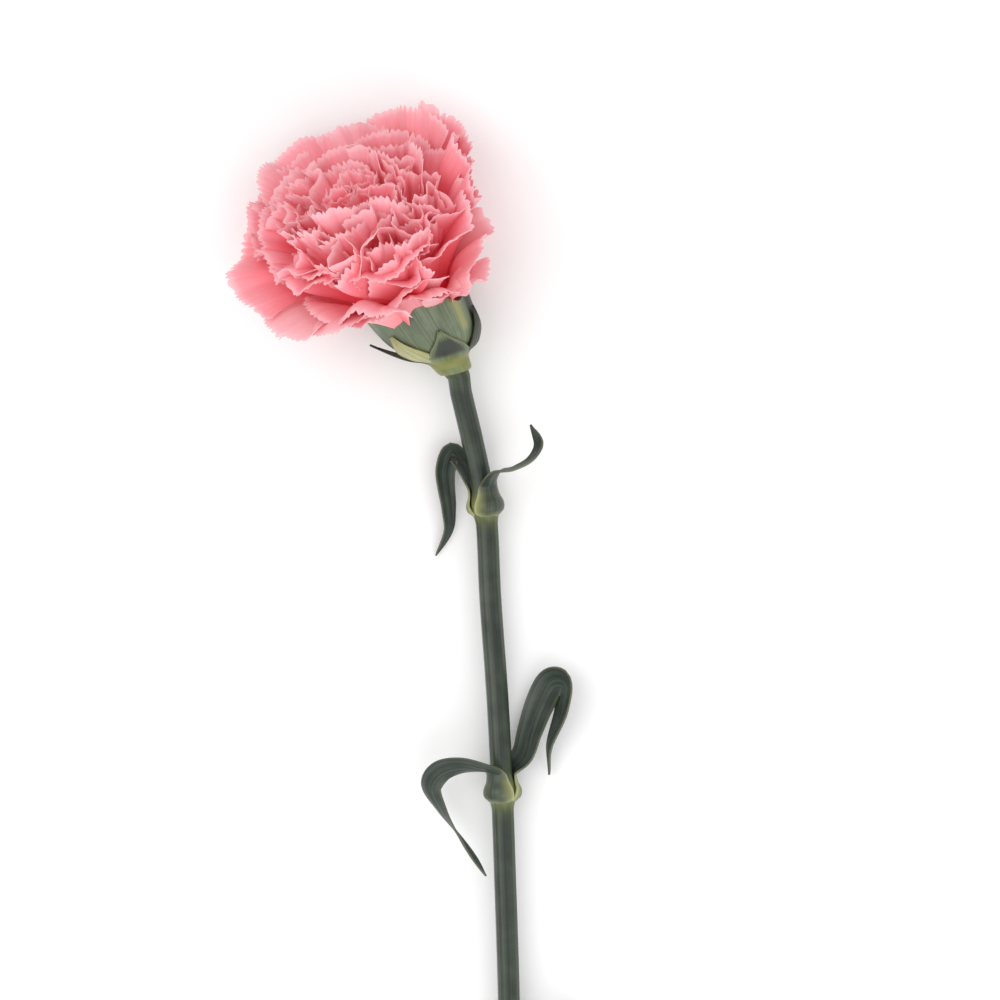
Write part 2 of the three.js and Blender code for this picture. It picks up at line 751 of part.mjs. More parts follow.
/** The ovary with its two short styles, on the receptacle; it may be made wider all round. */
function ovarySolid(wider = 0) {
  const foot = 7.2 + CLEARANCE;
  const ovary = [
    [0, foot - wider],
    [1.6 + wider, foot - wider],
    [2.3 + wider, foot + 2.5],
    [2.2 + wider, foot + 5.5],
    [1.1 + wider, foot + 8.5],
    [0, foot + 9.4 + wider],
  ];
  const styles = [-1, 1].map((side) => {
    const style = lathe([[0, 0], [0.5 + wider, 0], [0.4 + wider, 9 + wider], [0, 9 + wider]], 6);
    return style.rotate([0, 6 * side, 0]).translate([0.5 * side, 0, foot + 6.5]);
  });
  return wasm.Manifold.union([lathe(ovary, 12), ...styles]);
}

// ---------------------------------------------------------------- assembly

const skin = (color, roughness) =>
  new THREE.MeshStandardMaterial({ color, roughness, metalness: 0, side: THREE.DoubleSide });
const finishes = {
  petal: skin(0xf2838d, 0.75),
  stem: skin(0x4a5b48, 0.5),
  leaf: skin(0x4c5c50, 0.55),
  calyx: skin(0x6c8462, 0.55),
  bract: skin(0x9aa468, 0.55),
  pistil: skin(0xdfe3b4, 0.6),
};

const carnation = new THREE.Group();
carnation.name = "cut_carnation";

/** Adds one named piece, whose geometry may be given in the calyx's frame. */
function addPiece(name, geometry, finish, frame = new THREE.Matrix4()) {
  const mesh = new THREE.Mesh(geometry.applyMatrix4(frame), finish);
  mesh.name = name;
  carnation.add(mesh);
}

addPiece("stem", stemGeometry(), finishes.stem);
for (const leaf of LEAVES) addPiece(leaf.name, leafGeometry(leaf), finishes.leaf);
addPiece("calyx", thicken(calyxSheet(), CALYX_WALL), finishes.calyx, calyxFrame);
addPiece("epicalyx", epicalyxGeometry(), finishes.bract, calyxFrame);
addPiece("pistil", toGeometry(ovarySolid()), finishes.pistil, calyxFrame);
addPiece("petals", petalsGeometry(), finishes.petal);

export default carnation;
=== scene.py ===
"""A cut carnation lying on a pale surface: ruffled bloom, ribbed cup, jointed stem, curling leaves.

The shapes are worked out in millimetres, in the same frame as the CAD solids, and become metres in
the meshes. +Y runs along the stem towards the bloom and +Z is up.
"""

from __future__ import annotations

import logging
import math
from dataclasses import dataclass
from enum import Enum
import bpy  # noqa: E402
import numpy as np  # noqa: E402
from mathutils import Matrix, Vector  # noqa: E402


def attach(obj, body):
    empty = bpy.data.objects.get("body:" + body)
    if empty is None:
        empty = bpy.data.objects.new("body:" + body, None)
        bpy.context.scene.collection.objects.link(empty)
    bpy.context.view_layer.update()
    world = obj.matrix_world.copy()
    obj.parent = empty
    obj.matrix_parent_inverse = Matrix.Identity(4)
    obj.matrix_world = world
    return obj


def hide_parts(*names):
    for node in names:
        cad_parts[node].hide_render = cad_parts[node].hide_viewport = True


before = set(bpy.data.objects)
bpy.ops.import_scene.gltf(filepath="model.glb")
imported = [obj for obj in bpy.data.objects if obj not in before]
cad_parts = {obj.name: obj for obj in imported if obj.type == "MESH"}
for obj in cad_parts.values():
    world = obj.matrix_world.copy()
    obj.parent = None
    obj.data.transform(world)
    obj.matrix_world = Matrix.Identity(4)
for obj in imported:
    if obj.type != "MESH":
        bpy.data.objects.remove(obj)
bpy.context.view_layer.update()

log = logging.getLogger("carnation")
MM = 0.001
MERGE_M = 1e-6
DIRECTION_SPAN = 0.004
GOLDEN_ANGLE = 137.508
FULL_TURN = 6.3  # radians, rounded as in the CAD bloom's rule
DRAW_STEPS = (12.9898, 78.233, 43758.5453)
Array = np.ndarray
Table = tuple[tuple[float, float], ...]
Triple = tuple[float, float, float]
Spot = tuple[float, float, float, float, float, float]
Colour = tuple[float, ...]


# ------------------------------------------------------------------------------ shared arithmetic


def draw(index: int, stream: int) -> float:
    """Gives a repeatable random number.

    Args:
        index: Number of the piece that the draw is for.
        stream: Which of the piece's draws this is.

    Returns:
        A number from 0 to 1.
    """
    by_index, by_stream, spread = DRAW_STEPS
    wide = math.sin((index + 1) * by_index + stream * by_stream) * spread
    return wide - math.floor(wide)


def mix(low: float, high: float, share: float) -> float:
    """Blends two numbers; share 0 gives the first and 1 the second."""
    return low + (high - low) * share


def smooth(low: float, high: float, value: Array) -> Array:
    """Rises smoothly from 0 to 1 as value goes from low to high."""
    share = np.clip((np.asarray(value, float) - low) / (high - low), 0.0, 1.0)
    return share * share * (3 - 2 * share)


def unit(vector: Array) -> Array:
    """Scales a vector to length 1."""
    return vector / np.linalg.norm(vector)


def axis_frame(origin: Array, heading: float, elevation: float, skew: float = 0.0) -> Array:
    """Makes a frame whose Z runs along an axis.

    Args:
        origin: The frame's origin in millimetres.
        heading: Degrees of the axis from +Y towards -X.
        elevation: Degrees of the axis above the surface.
        skew: How far the axis leans to its left for each millimetre.

    Returns:
        A 4x4 matrix: X to the axis's left, Y upwards, Z along the axis.
    """
    turn, lift = math.radians(heading), math.radians(elevation)
    level = math.cos(lift)
    axis = np.array([-math.sin(turn) * level, math.cos(turn) * level, math.sin(lift)])
    left = unit(np.cross([0, 0, 1], axis))
    up = np.cross(axis, left)
    matrix = np.eye(4)
    matrix[:3] = np.column_stack([left, up, axis + skew * left, origin])
    return matrix


def place(points: Array, matrix: Array) -> Array:
    """Carries points from a frame into the part's frame."""
    return points @ matrix[:3, :3].T + matrix[:3, 3]


def revolve(profile: Array, turn: Array, swell: Array | float = 1.0) -> Array:
    """Turns a profile round the Z axis.

    Args:
        profile: Rows of radius and height.
        turn: The angle of each column.
        swell: What the radius is multiplied by at each angle.

    Returns:
        The points, shaped (rows, columns, 3).
    """
    radius = profile[:, :1] * swell
    height = np.repeat(profile[:, 1:], len(turn), axis=1)
    return np.stack([radius * np.cos(turn), radius * np.sin(turn), height], axis=-1)


class Line:
    """A smooth line through points, measured along its length."""

    def __init__(self, points: list[Triple], samples: int = 60) -> None:
        """Lays a centripetal Catmull-Rom line through the points.

        Args:
            points: The points in millimetres.
            samples: How many steps each stretch is measured in.
        """
        knots = np.array(points, float)
        knots = np.vstack([2 * knots[0] - knots[1], knots, 2 * knots[-1] - knots[-2]])
        dense = []
        for i in range(1, len(knots) - 2):
            before, start, end, after = knots[i - 1 : i + 3]
            spans = ((before, start), (start, end), (end, after))
            d0, d1, d2 = (np.linalg.norm(b - a) ** 0.5 for a, b in spans)
            leaving = (start - before) / d0 - (end - before) / (d0 + d1) + (end - start) / d1
            arriving = (end - start) / d1 - (after - start) / (d1 + d2) + (after - end) / d2
            leaving, arriving = leaving * d1, arriving * d1
            t = np.linspace(0, 1, samples, endpoint=False)[:, None]
            dense.append(
                start
                + leaving * t
                + (-3 * start + 3 * end - 2 * leaving - arriving) * t**2
                + (2 * start - 2 * end + leaving + arriving) * t**3
            )
        self.points = np.vstack([*dense, knots[-2][None]])
        steps = np.linalg.norm(np.diff(self.points, axis=0), axis=1)
        self.lengths = np.concatenate([[0.0], np.cumsum(steps)])
        self.length = float(self.lengths[-1])

    def at(self, share: float) -> Array:
        """Gives the point at a share of the line's length."""
        along = share * self.length
        return np.array([np.interp(along, self.lengths, self.points[:, k]) for k in range(3)])

    def forward(self, share: float) -> Array:
        """Gives the line's direction at a share of its length."""
        ahead, behind = min(1.0, share + DIRECTION_SPAN), max(0.0, share - DIRECTION_SPAN)
        return unit(self.at(ahead) - self.at(behind))

    def share_at_y(self, y: float) -> float:
        """Gives the share of the length at which the line passes a Y."""
        return float(np.interp(y, self.points[:, 1], self.lengths)) / self.length


def ease(table: Table, value: Array, window: float) -> Array:
    """Reads a polyline with its corners rounded.

    Args:
        table: The polyline's (x, y).
        value: Where it is read, along x.
        window: How far each side of a corner the rounding goes, along x.

    Returns:
        The y at each value.
    """
    knots = np.array(table)
    value = np.asarray(value, float)
    shifts = np.linspace(-window, window, 9)
    return np.mean([np.interp(value + shift, knots[:, 0], knots[:, 1]) for shift in shifts], axis=0)


def rounded(profile: Table, count: int) -> Array:
    """Gives evenly spaced points along a smooth curve through a profile of (radius, height)."""
    line = Line([(radius, height, 0.0) for radius, height in profile])
    return np.array([line.at(share)[:2] for share in np.linspace(0, 1, count)])


# ------------------------------------------------------------------------------ modelling


class Shading(Enum):
    """How a finished piece's faces are shaded: the sharpest edge, in degrees, that is smoothed."""

    SMOOTH = 180.0
    CRISP_RIM = 55.0


def only(piece: bpy.types.Object) -> None:
    """Selects one object, makes it active and leaves all others out.

    Args:
        piece: The object.
    """
    bpy.ops.object.select_all(action="DESELECT")
    piece.select_set(True)
    bpy.context.view_layer.objects.active = piece


def grid_sheet(name: str, points: Array, closed: bool = False) -> bpy.types.Object:
    """Models a sheet: a grid is added, and each of its vertices is moved to its place.

    Args:
        name: The piece's name.
        points: Rows of points in millimetres, shaped (rows, columns, 3).
        closed: Whether the last column meets the first and is merged with it.

    Returns:
        The sheet, with a UV map that runs across its columns and up its rows.
    """
    rows, columns = points.shape[:2]
    bpy.ops.object.select_all(action="DESELECT")
    bpy.ops.mesh.primitive_grid_add(
        x_subdivisions=columns - 1, y_subdivisions=rows - 1, size=2.0, calc_uvs=True
    )
    piece = bpy.context.active_object
    piece.name = piece.data.name = name
    mesh = piece.data
    flat = np.empty(len(mesh.vertices) * 3)
    mesh.vertices.foreach_get("co", flat)
    flat = flat.reshape(-1, 3)
    column = np.rint((flat[:, 0] + 1) / 2 * (columns - 1)).astype(int)
    row = np.rint((flat[:, 1] + 1) / 2 * (rows - 1)).astype(int)
    mesh.vertices.foreach_set("co", (points[row, column] * MM).ravel())
    mesh.update()
    if closed:
        only(piece)
        bpy.ops.object.mode_set(mode="EDIT")
        bpy.ops.mesh.select_all(action="SELECT")
        bpy.ops.mesh.remove_doubles(threshold=MERGE_M)
        bpy.ops.object.mode_set(mode="OBJECT")
    return piece


def add_value(piece: bpy.types.Object, name: str, values: Array) -> None:
    """Gives a piece a named number at each vertex, for its material to read."""
    layer = piece.data.attributes.new(name, "FLOAT", "POINT")
    layer.data.foreach_set("value", np.asarray(values, np.float32).ravel())


def vertices_of(piece: bpy.types.Object) -> Array:
    """Reads where a piece's vertices are.

    Args:
        piece: The piece.

    Returns:
        Its vertices in millimetres, one a row.
    """
    flat = np.empty(len(piece.data.vertices) * 3)
    piece.data.vertices.foreach_get("co", flat)
    return flat.reshape(-1, 3) / MM


def give_thickness(
    piece: bpy.types.Object, thickness: float, thin: float = 1.0, body: Array | None = None
) -> None:
    """Turns a sheet into a thin solid, with the sheet in its middle.

    Args:
        piece: The sheet.
        thickness: The solid's thickness in millimetres.
        thin: The share of the thickness that is left where the body is 0.
        body: 1 at the vertices that keep the whole thickness, down to 0 at the thinnest.
    """
    only(piece)
    wall = piece.modifiers.new("wall", "SOLIDIFY")
    wall.thickness = thickness * MM
    wall.offset = 0.0
    if body is not None:
        group = piece.vertex_groups.new(name="body")
        for index, weight in enumerate(np.asarray(body).ravel()):
            group.add([index], float(weight), "REPLACE")
        wall.vertex_group = group.name
        wall.thickness_vertex_group = thin
    bpy.ops.object.modifier_apply(modifier=wall.name)
    piece.vertex_groups.clear()


def shade(piece: bpy.types.Object, shading: Shading) -> None:
    """Shades a piece smoothly, apart from edges sharper than its shading allows."""
    only(piece)
    bpy.ops.object.shade_smooth_by_angle(angle=math.radians(shading.value))


def hand_over(
    piece: bpy.types.Object, nodes: list[str], finish: bpy.types.Material
) -> None:
    """Dresses a finished piece and gives it its place in the part.

    Args:
        piece: The finished piece.
        nodes: The CAD nodes that it stands for.
        finish: Its material.
    """
    piece.data.materials.clear()
    piece.data.materials.append(finish)
    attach(piece, "root")
    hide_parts(*nodes)
    faces = len(piece.data.polygons)
    log.info("%s: %d faces, stands for %s", piece.name, faces, ", ".join(nodes))


# ------------------------------------------------------------------------------ finishes


def rgb(red: float, green: float, blue: float) -> Colour:
    """Turns a colour of 0 to 255, as a screen shows it, into a linear colour."""
    shares = (red / 255, green / 255, blue / 255)
    return (*(c / 12.92 if c <= 0.0404 else ((c + 0.055) / 1.055) ** 2.4 for c in shares), 1.0)


class Nodes:
    """Short ways to lay out a material's nodes."""

    # A Mix node's colour sockets have the same names as its number sockets, so they go by index.
    COLOUR_INPUTS = (6, 7)
    COLOUR_OUTPUT = 2

    def __init__(self, name: str) -> None:
        """Starts a material with one Principled shader.

        Args:
            name: The material's name.
        """
        self.material = bpy.data.materials.new(name)
        self.material.use_nodes = True
        self.tree = self.material.node_tree
        self.shader = self.tree.nodes["Principled BSDF"]

    def add(self, kind: str, **settings: object) -> bpy.types.Node:
        """Adds a node.

        Args:
            kind: The node's type.
            **settings: Values of its properties.

        Returns:
            The node.
        """
        node = self.tree.nodes.new(kind)
        for key, value in settings.items():
            setattr(node, key, value)
        return node

    def link(self, source: bpy.types.NodeSocket, target: bpy.types.NodeSocket) -> None:
        """Joins two sockets."""
        self.tree.links.new(source, target)

    def feed(self, target: bpy.types.NodeSocket, value: object) -> None:
        """Sets a socket.

        Args:
            target: The socket.
            value: A number, a colour or the socket that it reads.
        """
        if isinstance(value, bpy.types.NodeSocket):
            self.link(value, target)
        else:
            target.default_value = value

    def show(self, colour: object, **even: object) -> None:
        """Sets what the shader shows.

        Args:
            colour: Its base colour.
            **even: Values of its other sockets, with _ for each space of their names.
        """
        self.feed(self.shader.inputs["Base Color"], colour)
        for key, value in even.items():
            self.shader.inputs[key.replace("_", " ")].default_value = value

    def math(
        self, operation: str, first: object, second: object = 0.0, clamp: bool = False
    ) -> bpy.types.NodeSocket:
        """Combines two numbers.

        Args:
            operation: What is done with them.
            first: The first number.
            second: The second number.
            clamp: Whether the result is kept from 0 to 1.

        Returns:
            The result.
        """
        node = self.add("ShaderNodeMath", operation=operation, use_clamp=clamp)
        self.feed(node.inputs[0], first)
        self.feed(node.inputs[1], second)
        return node.outputs[0]

    def uneven(self, noise: bpy.types.NodeSocket, size: float) -> bpy.types.NodeSocket:
        """Moves noise to about 0 and scales it by a size."""
        return self.math("MULTIPLY", self.math("SUBTRACT", noise, 0.5), size)

    def between(self, value: object, low: float, high: float) -> bpy.types.NodeSocket:
        """Rises smoothly from 0 to 1 as a number goes from low to high.

        Args:
            value: The number.
            low: Where the rise starts.
            high: Where it ends.

        Returns:
            The share.
        """
        node = self.add("ShaderNodeMapRange", interpolation_type="SMOOTHSTEP")
        self.feed(node.inputs["Value"], value)
        node.inputs["From Min"].default_value = low
        node.inputs["From Max"].default_value = high
        return node.outputs["Result"]

    def blend(self, share: object, first: object, second: object) -> bpy.types.NodeSocket:
        """Blends two colours.

        Args:
            share: How much of the second is taken.
            first: The first colour.
            second: The second colour.

        Returns:
            The colour.
        """
        node = self.add("ShaderNodeMix", data_type="RGBA")
        self.feed(node.inputs["Factor"], share)
        for index, colour in zip(self.COLOUR_INPUTS, (first, second)):
            self.feed(node.inputs[index], colour)
        return node.outputs[self.COLOUR_OUTPUT]

    def ramp(self, value: object, stops: list[tuple[float, Colour]]) -> bpy.types.NodeSocket:
        """Reads a colour from stops along 0 to 1.

        Args:
            value: Where it is read.
            stops: Each stop's place and colour.

        Returns:
            The colour.
        """
        node = self.add("ShaderNodeValToRGB")
        elements = node.color_ramp.elements
        while len(elements) < len(stops):
            elements.new(0.5)
        for element, (position, colour) in zip(elements, stops):
            element.position = position
            element.color = colour
        self.feed(node.inputs["Fac"], value)
        return node.outputs["Color"]

    def noise(self, where: object, scale: Triple, detail: float) -> bpy.types.NodeSocket:
        """Gives noise about 0.5.

        Args:
            where: The place that it is read at.
            scale: How fine it is along each direction.
            detail: How many finer layers it has.

        Returns:
            The noise.
        """
        mapping = self.add("ShaderNodeMapping")
        self.feed(mapping.inputs["Vector"], where)
        mapping.inputs["Scale"].default_value = scale
        node = self.add("ShaderNodeTexNoise")
        node.inputs["Scale"].default_value = 1.0
        node.inputs["Detail"].default_value = detail
        self.link(mapping.outputs["Vector"], node.inputs["Vector"])
        return node.outputs["Fac"]

    def uv(self) -> bpy.types.NodeSocket:
        """Gives the place on the piece's UV map."""
        return self.add("ShaderNodeUVMap", uv_map="UVMap").outputs["UV"]

    def reach(self, uv: bpy.types.NodeSocket) -> bpy.types.NodeSocket:
        """Gives how far up its piece a place on the UV map is.

        Args:
            uv: The place.

        Returns:
            0 at the piece's foot and 1 at its edge.
        """
        split = self.add("ShaderNodeSeparateXYZ")
        self.link(uv, split.inputs[0])
        return split.outputs["Y"]

    def value(self, name: str) -> bpy.types.NodeSocket:
        """Reads a number that the piece's vertices carry."""
        return self.add("ShaderNodeAttribute", attribute_name=name).outputs["Fac"]

    def object_place(self) -> bpy.types.NodeSocket:
        """Gives the place in the object, in metres."""
        return self.add("ShaderNodeTexCoord").outputs["Object"]

    def bump(self, height: bpy.types.NodeSocket, strength: float, distance: float) -> None:
        """Raises the surface.

        Args:
            height: Where it is high.
            strength: How strongly it is raised, from 0 to 1.
            distance: How far the highest place stands out, in metres.
        """
        node = self.add("ShaderNodeBump")
        node.inputs["Strength"].default_value = strength
        node.inputs["Distance"].default_value = distance
        self.link(height, node.inputs["Height"])
        self.link(node.outputs["Normal"], self.shader.inputs["Normal"])


@dataclass(frozen=True)
class PetalFinish:
    """Satin petal: crimson near the claw, coral on the blade, pale at the edge, fine rays, painted
    glow.

    The piece's "tint" values bring in the guard petals' colour on the outer part of the blade.
    """

    claw: Colour = rgb(226, 214, 180)
    deep: Colour = rgb(238, 36, 60)
    blade: Colour = rgb(231, 90, 107)
    pale: Colour = rgb(234, 152, 164)
    guard: Colour = rgb(240, 192, 197)
    rim: Colour = rgb(243, 208, 211)
    # Painted glow: through is the coral colour that the petals emit, standing in for light passing
    # through and between them.
    through: Colour = rgb(245, 52, 72)
    stops: tuple[float, ...] = (0.10, 0.44, 0.83, 1.0)
    ray_scale: Triple = (46.0, 1.4, 1.0)
    ray_shift: float = 0.16
    ray_strength: float = 0.35
    ray_height: float = 0.0004
    blotch_scale: Triple = (70.0, 70.0, 70.0)
    blotch_shift: float = 0.22
    guard_span: tuple[float, float] = (0.3, 0.85)
    guard_share: float = 0.85
    rim_start: float = 0.95
    rim_share: float = 0.4
    roughness: float = 0.62
    shine: float = 0.3
    sheen: float = 0.12
    glow: float = 0.2
    glow_spread: Triple = (1.0, 0.8, 0.8)
    glow_depth: float = 0.001
    painted_glow: float = 0.07

    def make(self) -> bpy.types.Material:
        """Lays out the material.

        Returns:
            The material.
        """
        kit = Nodes("petal satin")
        uv = kit.uv()
        reach = kit.reach(uv)
        rays = kit.noise(uv, self.ray_scale, 4.0)
        blotch = kit.noise(kit.object_place(), self.blotch_scale, 2.0)
        shifted = kit.math("ADD", reach, kit.uneven(rays, self.ray_shift))
        shifted = kit.math("ADD", shifted, kit.uneven(blotch, self.blotch_shift))
        colours = (self.claw, self.deep, self.blade, self.pale)
        body = kit.ramp(shifted, list(zip(self.stops, colours)))
        outer = kit.math("MULTIPLY", kit.between(shifted, *self.guard_span), kit.value("tint"))
        body = kit.blend(kit.math("MULTIPLY", outer, self.guard_share), body, self.guard)
        edge = kit.between(reach, self.rim_start, 1.0)
        kit.show(
            kit.blend(kit.math("MULTIPLY", edge, self.rim_share), body, self.rim),
            Roughness=self.roughness,
            Subsurface_Weight=self.glow,
            Subsurface_Radius=self.glow_spread,
            Subsurface_Scale=self.glow_depth,
            Sheen_Weight=self.sheen,
            # The emission is a painted glow, not a lamp: it stands in for light passing through the
            # petals.
            Emission_Color=self.through,
            Emission_Strength=self.painted_glow,
            Specular_IOR_Level=self.shine,
        )
        kit.bump(rays, self.ray_strength, self.ray_height)
        return kit.material


@dataclass(frozen=True)
class GreenFinish:
    """Waxy plant skin: lengthwise streaks in two greens, and two other colours in places.

    The piece's "accent" values bring in the accent, and its "shade" values the shadow colour: pale
    rims, dark tips and patches, and painted shade on one side of the cup.
    """

    name: str
    dark: Colour
    light: Colour
    accent: Colour
    shadow: Colour
    streaks: Triple = (36.0, 1.2, 1.0)
    roughness: float = 0.42
    shine: float = 0.45
    light_span: tuple[float, float] = (0.32, 0.7)
    mottle_scale: Triple = (140.0, 140.0, 140.0)
    mottle_size: float = 0.6
    accent_mottle: float = 0.5
    streak_strength: float = 0.35
    streak_height: float = 0.0003

    def make(self) -> bpy.types.Material:
        """Lays out the material.

        Returns:
            The material.
        """
        kit = Nodes(self.name)
        streak = kit.noise(kit.uv(), self.streaks, 5.0)
        mottle = kit.uneven(
            kit.noise(kit.object_place(), self.mottle_scale, 3.0), self.mottle_size
        )
        share = kit.between(kit.math("ADD", streak, mottle), *self.light_span)
        colour = kit.blend(share, self.dark, self.light)
        accent = kit.value("accent")
        patchy = kit.math(
            "ADD", accent, kit.math("MULTIPLY", mottle, self.accent_mottle), clamp=True
        )
        colour = kit.blend(kit.math("MULTIPLY", patchy, accent), colour, self.accent)
        kit.show(
            kit.blend(kit.value("shade"), colour, self.shadow),
            Roughness=self.roughness,
            Specular_IOR_Level=self.shine,
        )
        kit.bump(streak, self.streak_strength, self.streak_height)
        return kit.material


@dataclass(frozen=True)
class PistilFinish:
    """Pale green, slightly moist flesh with soft mottling."""

    pale: Colour = rgb(222, 226, 178)
    green: Colour = rgb(168, 186, 116)
    roughness: float = 0.45
    mottle_scale: Triple = (300.0, 300.0, 90.0)
    pale_span: tuple[float, float] = (0.35, 0.65)
    mottle_strength: float = 0.3
    mottle_height: float = 0.0002

    def make(self) -> bpy.types.Material:
        """Lays out the material.

        Returns:
            The material.
        """
        kit = Nodes("pistil flesh")
        mottle = kit.noise(kit.object_place(), self.mottle_scale, 3.0)
        share = kit.between(mottle, *self.pale_span)
        kit.show(kit.blend(share, self.green, self.pale), Roughness=self.roughness)
        kit.bump(mottle, self.mottle_strength, self.mottle_height)
        return kit.material


# ------------------------------------------------------------------------------ stem and leaves

STEM_RADIUS = 3.1
SURFACE_HEIGHT = STEM_RADIUS * math.cos(math.pi / 12)
CUT_LENGTH = 6.0
JOINTS_Y = (52.0, 137.9, 213.9)
STEM_AXIS = [
    (0.2, -14, SURFACE_HEIGHT),
    (0, 0, SURFACE_HEIGHT),
    (0, 11, SURFACE_HEIGHT),
    (0.1, 17, SURFACE_HEIGHT + 0.12),
    (0.5, 34, 4.3),
    (0.9, 52, 5.8),
    (0.5, 83, 6.6),
    (-0.6, 118, 6.9),
    (-1.3, 137.9, 7.1),
    (-2.5, 162.5, 6.9),
    (-4.4, 189, 6.6),
    (-5.8, 213.9, 6.9),
    (-9.0, 230.4, 8.0),
    (-11.4, 240.6, 9.2),
    (-13.5, 249.4, 10.9),
]
CALYX = axis_frame(np.array(STEM_AXIS[-1]), 14, 14, 0.3)
PETALS_HEIGHT = 17.0
PETALS = axis_frame(place(np.array([0, 0, PETALS_HEIGHT]), CALYX), 31, 32)


def seen_from_cup(piece: bpy.types.Object) -> tuple[Array, Array]:
    """Reads where a piece's vertices are round the cup.

    Args:
        piece: The piece.

    Returns:
        The vertices in the cup's frame in millimetres, and the side of each in degrees.
    """
    local = (vertices_of(piece) - CALYX[:3, 3]) @ np.linalg.inv(CALYX[:3, :3]).T
    return local, np.degrees(np.arctan2(local[:, 1], local[:, 0])) % 360


@dataclass
class Stem:
    """The jointed stem, with a slanted cut at one end and the receptacle at the other."""

    radius: float = 2.98
    joint_radius: float = 3.85
    joint_length: float = 5.2
    around: int = 60
    ring_step: float = 3.5
    joint_rings: int = 15
    neck_y: float = 246.0
    grooves: tuple[Triple, ...] = ((7, 0.012, 0.0), (13, 0.008, 1.0))
    cut_short: float = 0.3
    cut_rings: Table = ((0.0, 0.5), (0.35, 0.45), (0.7, 0.25), (0.93, 0.0))
    receptacle: Table = (
        (3.05, -1.5), (3.6, 0.5), (3.8, 2.0), (3.8, 4.9), (2.9, 4.95), (2.9, 7.1),
    )
    joint_tint_shift: float = 0.5
    joint_tint_length: float = 5.0
    neck_span: tuple[float, float] = (244.0, 251.0)
    neck_tint: float = 0.5
    finish: GreenFinish = GreenFinish(
        "stem skin",
        dark=rgb(30, 40, 31),
        light=rgb(60, 72, 56),
        accent=rgb(112, 122, 66),
        shadow=rgb(196, 198, 158),
        streaks=(14.0, 0.35, 1.0),
        roughness=0.3,
    )

    def __post_init__(self) -> None:
        """Lays the stem's axis."""
        self.line = Line(STEM_AXIS)

    def frame_at(self, y: float) -> tuple[Array, Array, Array, Array]:
        """Gives the stem's own directions where it passes a Y.

        Args:
            y: The Y in millimetres.

        Returns:
            The stem's centre, and its left, up and forward.
        """
        share = self.line.share_at_y(y)
        forward = self.line.forward(share)
        left = unit(np.cross([0, 0, 1], forward))
        return self.line.at(share), left, np.cross(forward, left), forward

    def radius_at(self, y: float) -> float:
        """Gives the stem's radius, which is even and swells at each joint.

        Args:
            y: The Y at which the stem is measured.

        Returns:
            The radius in millimetres.
        """
        radius = self.radius
        for joint in JOINTS_Y:
            away = (y - joint) / self.joint_length
            if abs(away) < 1:
                radius += (self.joint_radius - self.radius) * math.cos(away * math.pi / 2) ** 2
        return radius

    def rings(self) -> Array:
        """Lays the rings of the stem's skin, from the middle of the cut to the receptacle's.

        Returns:
            The points in millimetres, shaped (rings, columns, 3).
        """
        turn = np.linspace(0, 2 * math.pi, self.around + 1)
        groove = np.ones_like(turn)
        for count, depth, start in self.grooves:
            groove = groove - depth * (1 - np.cos(count * turn + start))

        def ring(centre: Array, left: Array, up: Array, radius: float) -> Array:
            """Lays one ring of points round a centre."""
            sides, cos, sin = radius * groove[:, None], np.cos(turn)[:, None], np.sin(turn)[:, None]
            return centre + sides * cos * left + sides * sin * up

        first = STEM_AXIS[0][1]
        swell = self.joint_length * np.linspace(-1, 1, self.joint_rings)
        even = np.arange(first + CUT_LENGTH, self.neck_y, self.ring_step)
        stations = np.unique(np.concatenate([even, *(joint + swell for joint in JOINTS_Y)]))
        rows = [ring(*self.frame_at(y)[:3], self.radius_at(y)) for y in stations]
        slant = ring(*self.frame_at(first)[:3], self.radius)
        slant[:, 1] += CUT_LENGTH * (0.5 + (slant[:, 2] - SURFACE_HEIGHT) / (2 * STEM_RADIUS))
        slant[:, 1] = np.minimum(slant[:, 1], first + CUT_LENGTH - self.cut_short)
        middle = slant.mean(axis=0)
        cut = []
        for share, sunk in self.cut_rings:
            cut.append(middle + (slant - middle) * share)
            cut[-1][:, 1] += sunk
        end = [
            ring(place(np.array([0, 0, height]), CALYX), CALYX[:3, 0], CALYX[:3, 1], radius)
            for radius, height in (*self.receptacle, (0.0, self.receptacle[-1][1]))
        ]
        points = np.array([*cut, slant, *rows, *end])
        points[..., 2] = np.maximum(points[..., 2], 0.0)
        return points

    def model(self) -> bpy.types.Object:
        """Models the stem as one closed tube with faint lengthwise grooves.

        Returns:
            The stem.
        """
        piece = grid_sheet("stem_skin", self.rings()[:, ::-1], closed=True)
        y = vertices_of(piece)[:, 1]
        near = np.zeros(len(y))
        for joint in JOINTS_Y:
            away = (y - joint + self.joint_tint_shift) / self.joint_tint_length
            near = np.maximum(near, np.exp(-(away**2)))
        near = np.maximum(near, smooth(*self.neck_span, y) * self.neck_tint)
        add_value(piece, "accent", near)
        add_value(piece, "shade", np.zeros(len(y)))
        shade(piece, Shading.CRISP_RIM)
        return piece

    def build(self) -> None:
        """Models and dresses the stem."""
        hand_over(self.model(), ["stem"], self.finish.make())


@dataclass(frozen=True)
class LeafShape:
    """One leaf: its joint, the side of the stem it grows from, its blade's line, width and turn."""

    name: str
    joint: int
    side: float
    line: tuple[Triple, ...]
    width: float
    twist: float


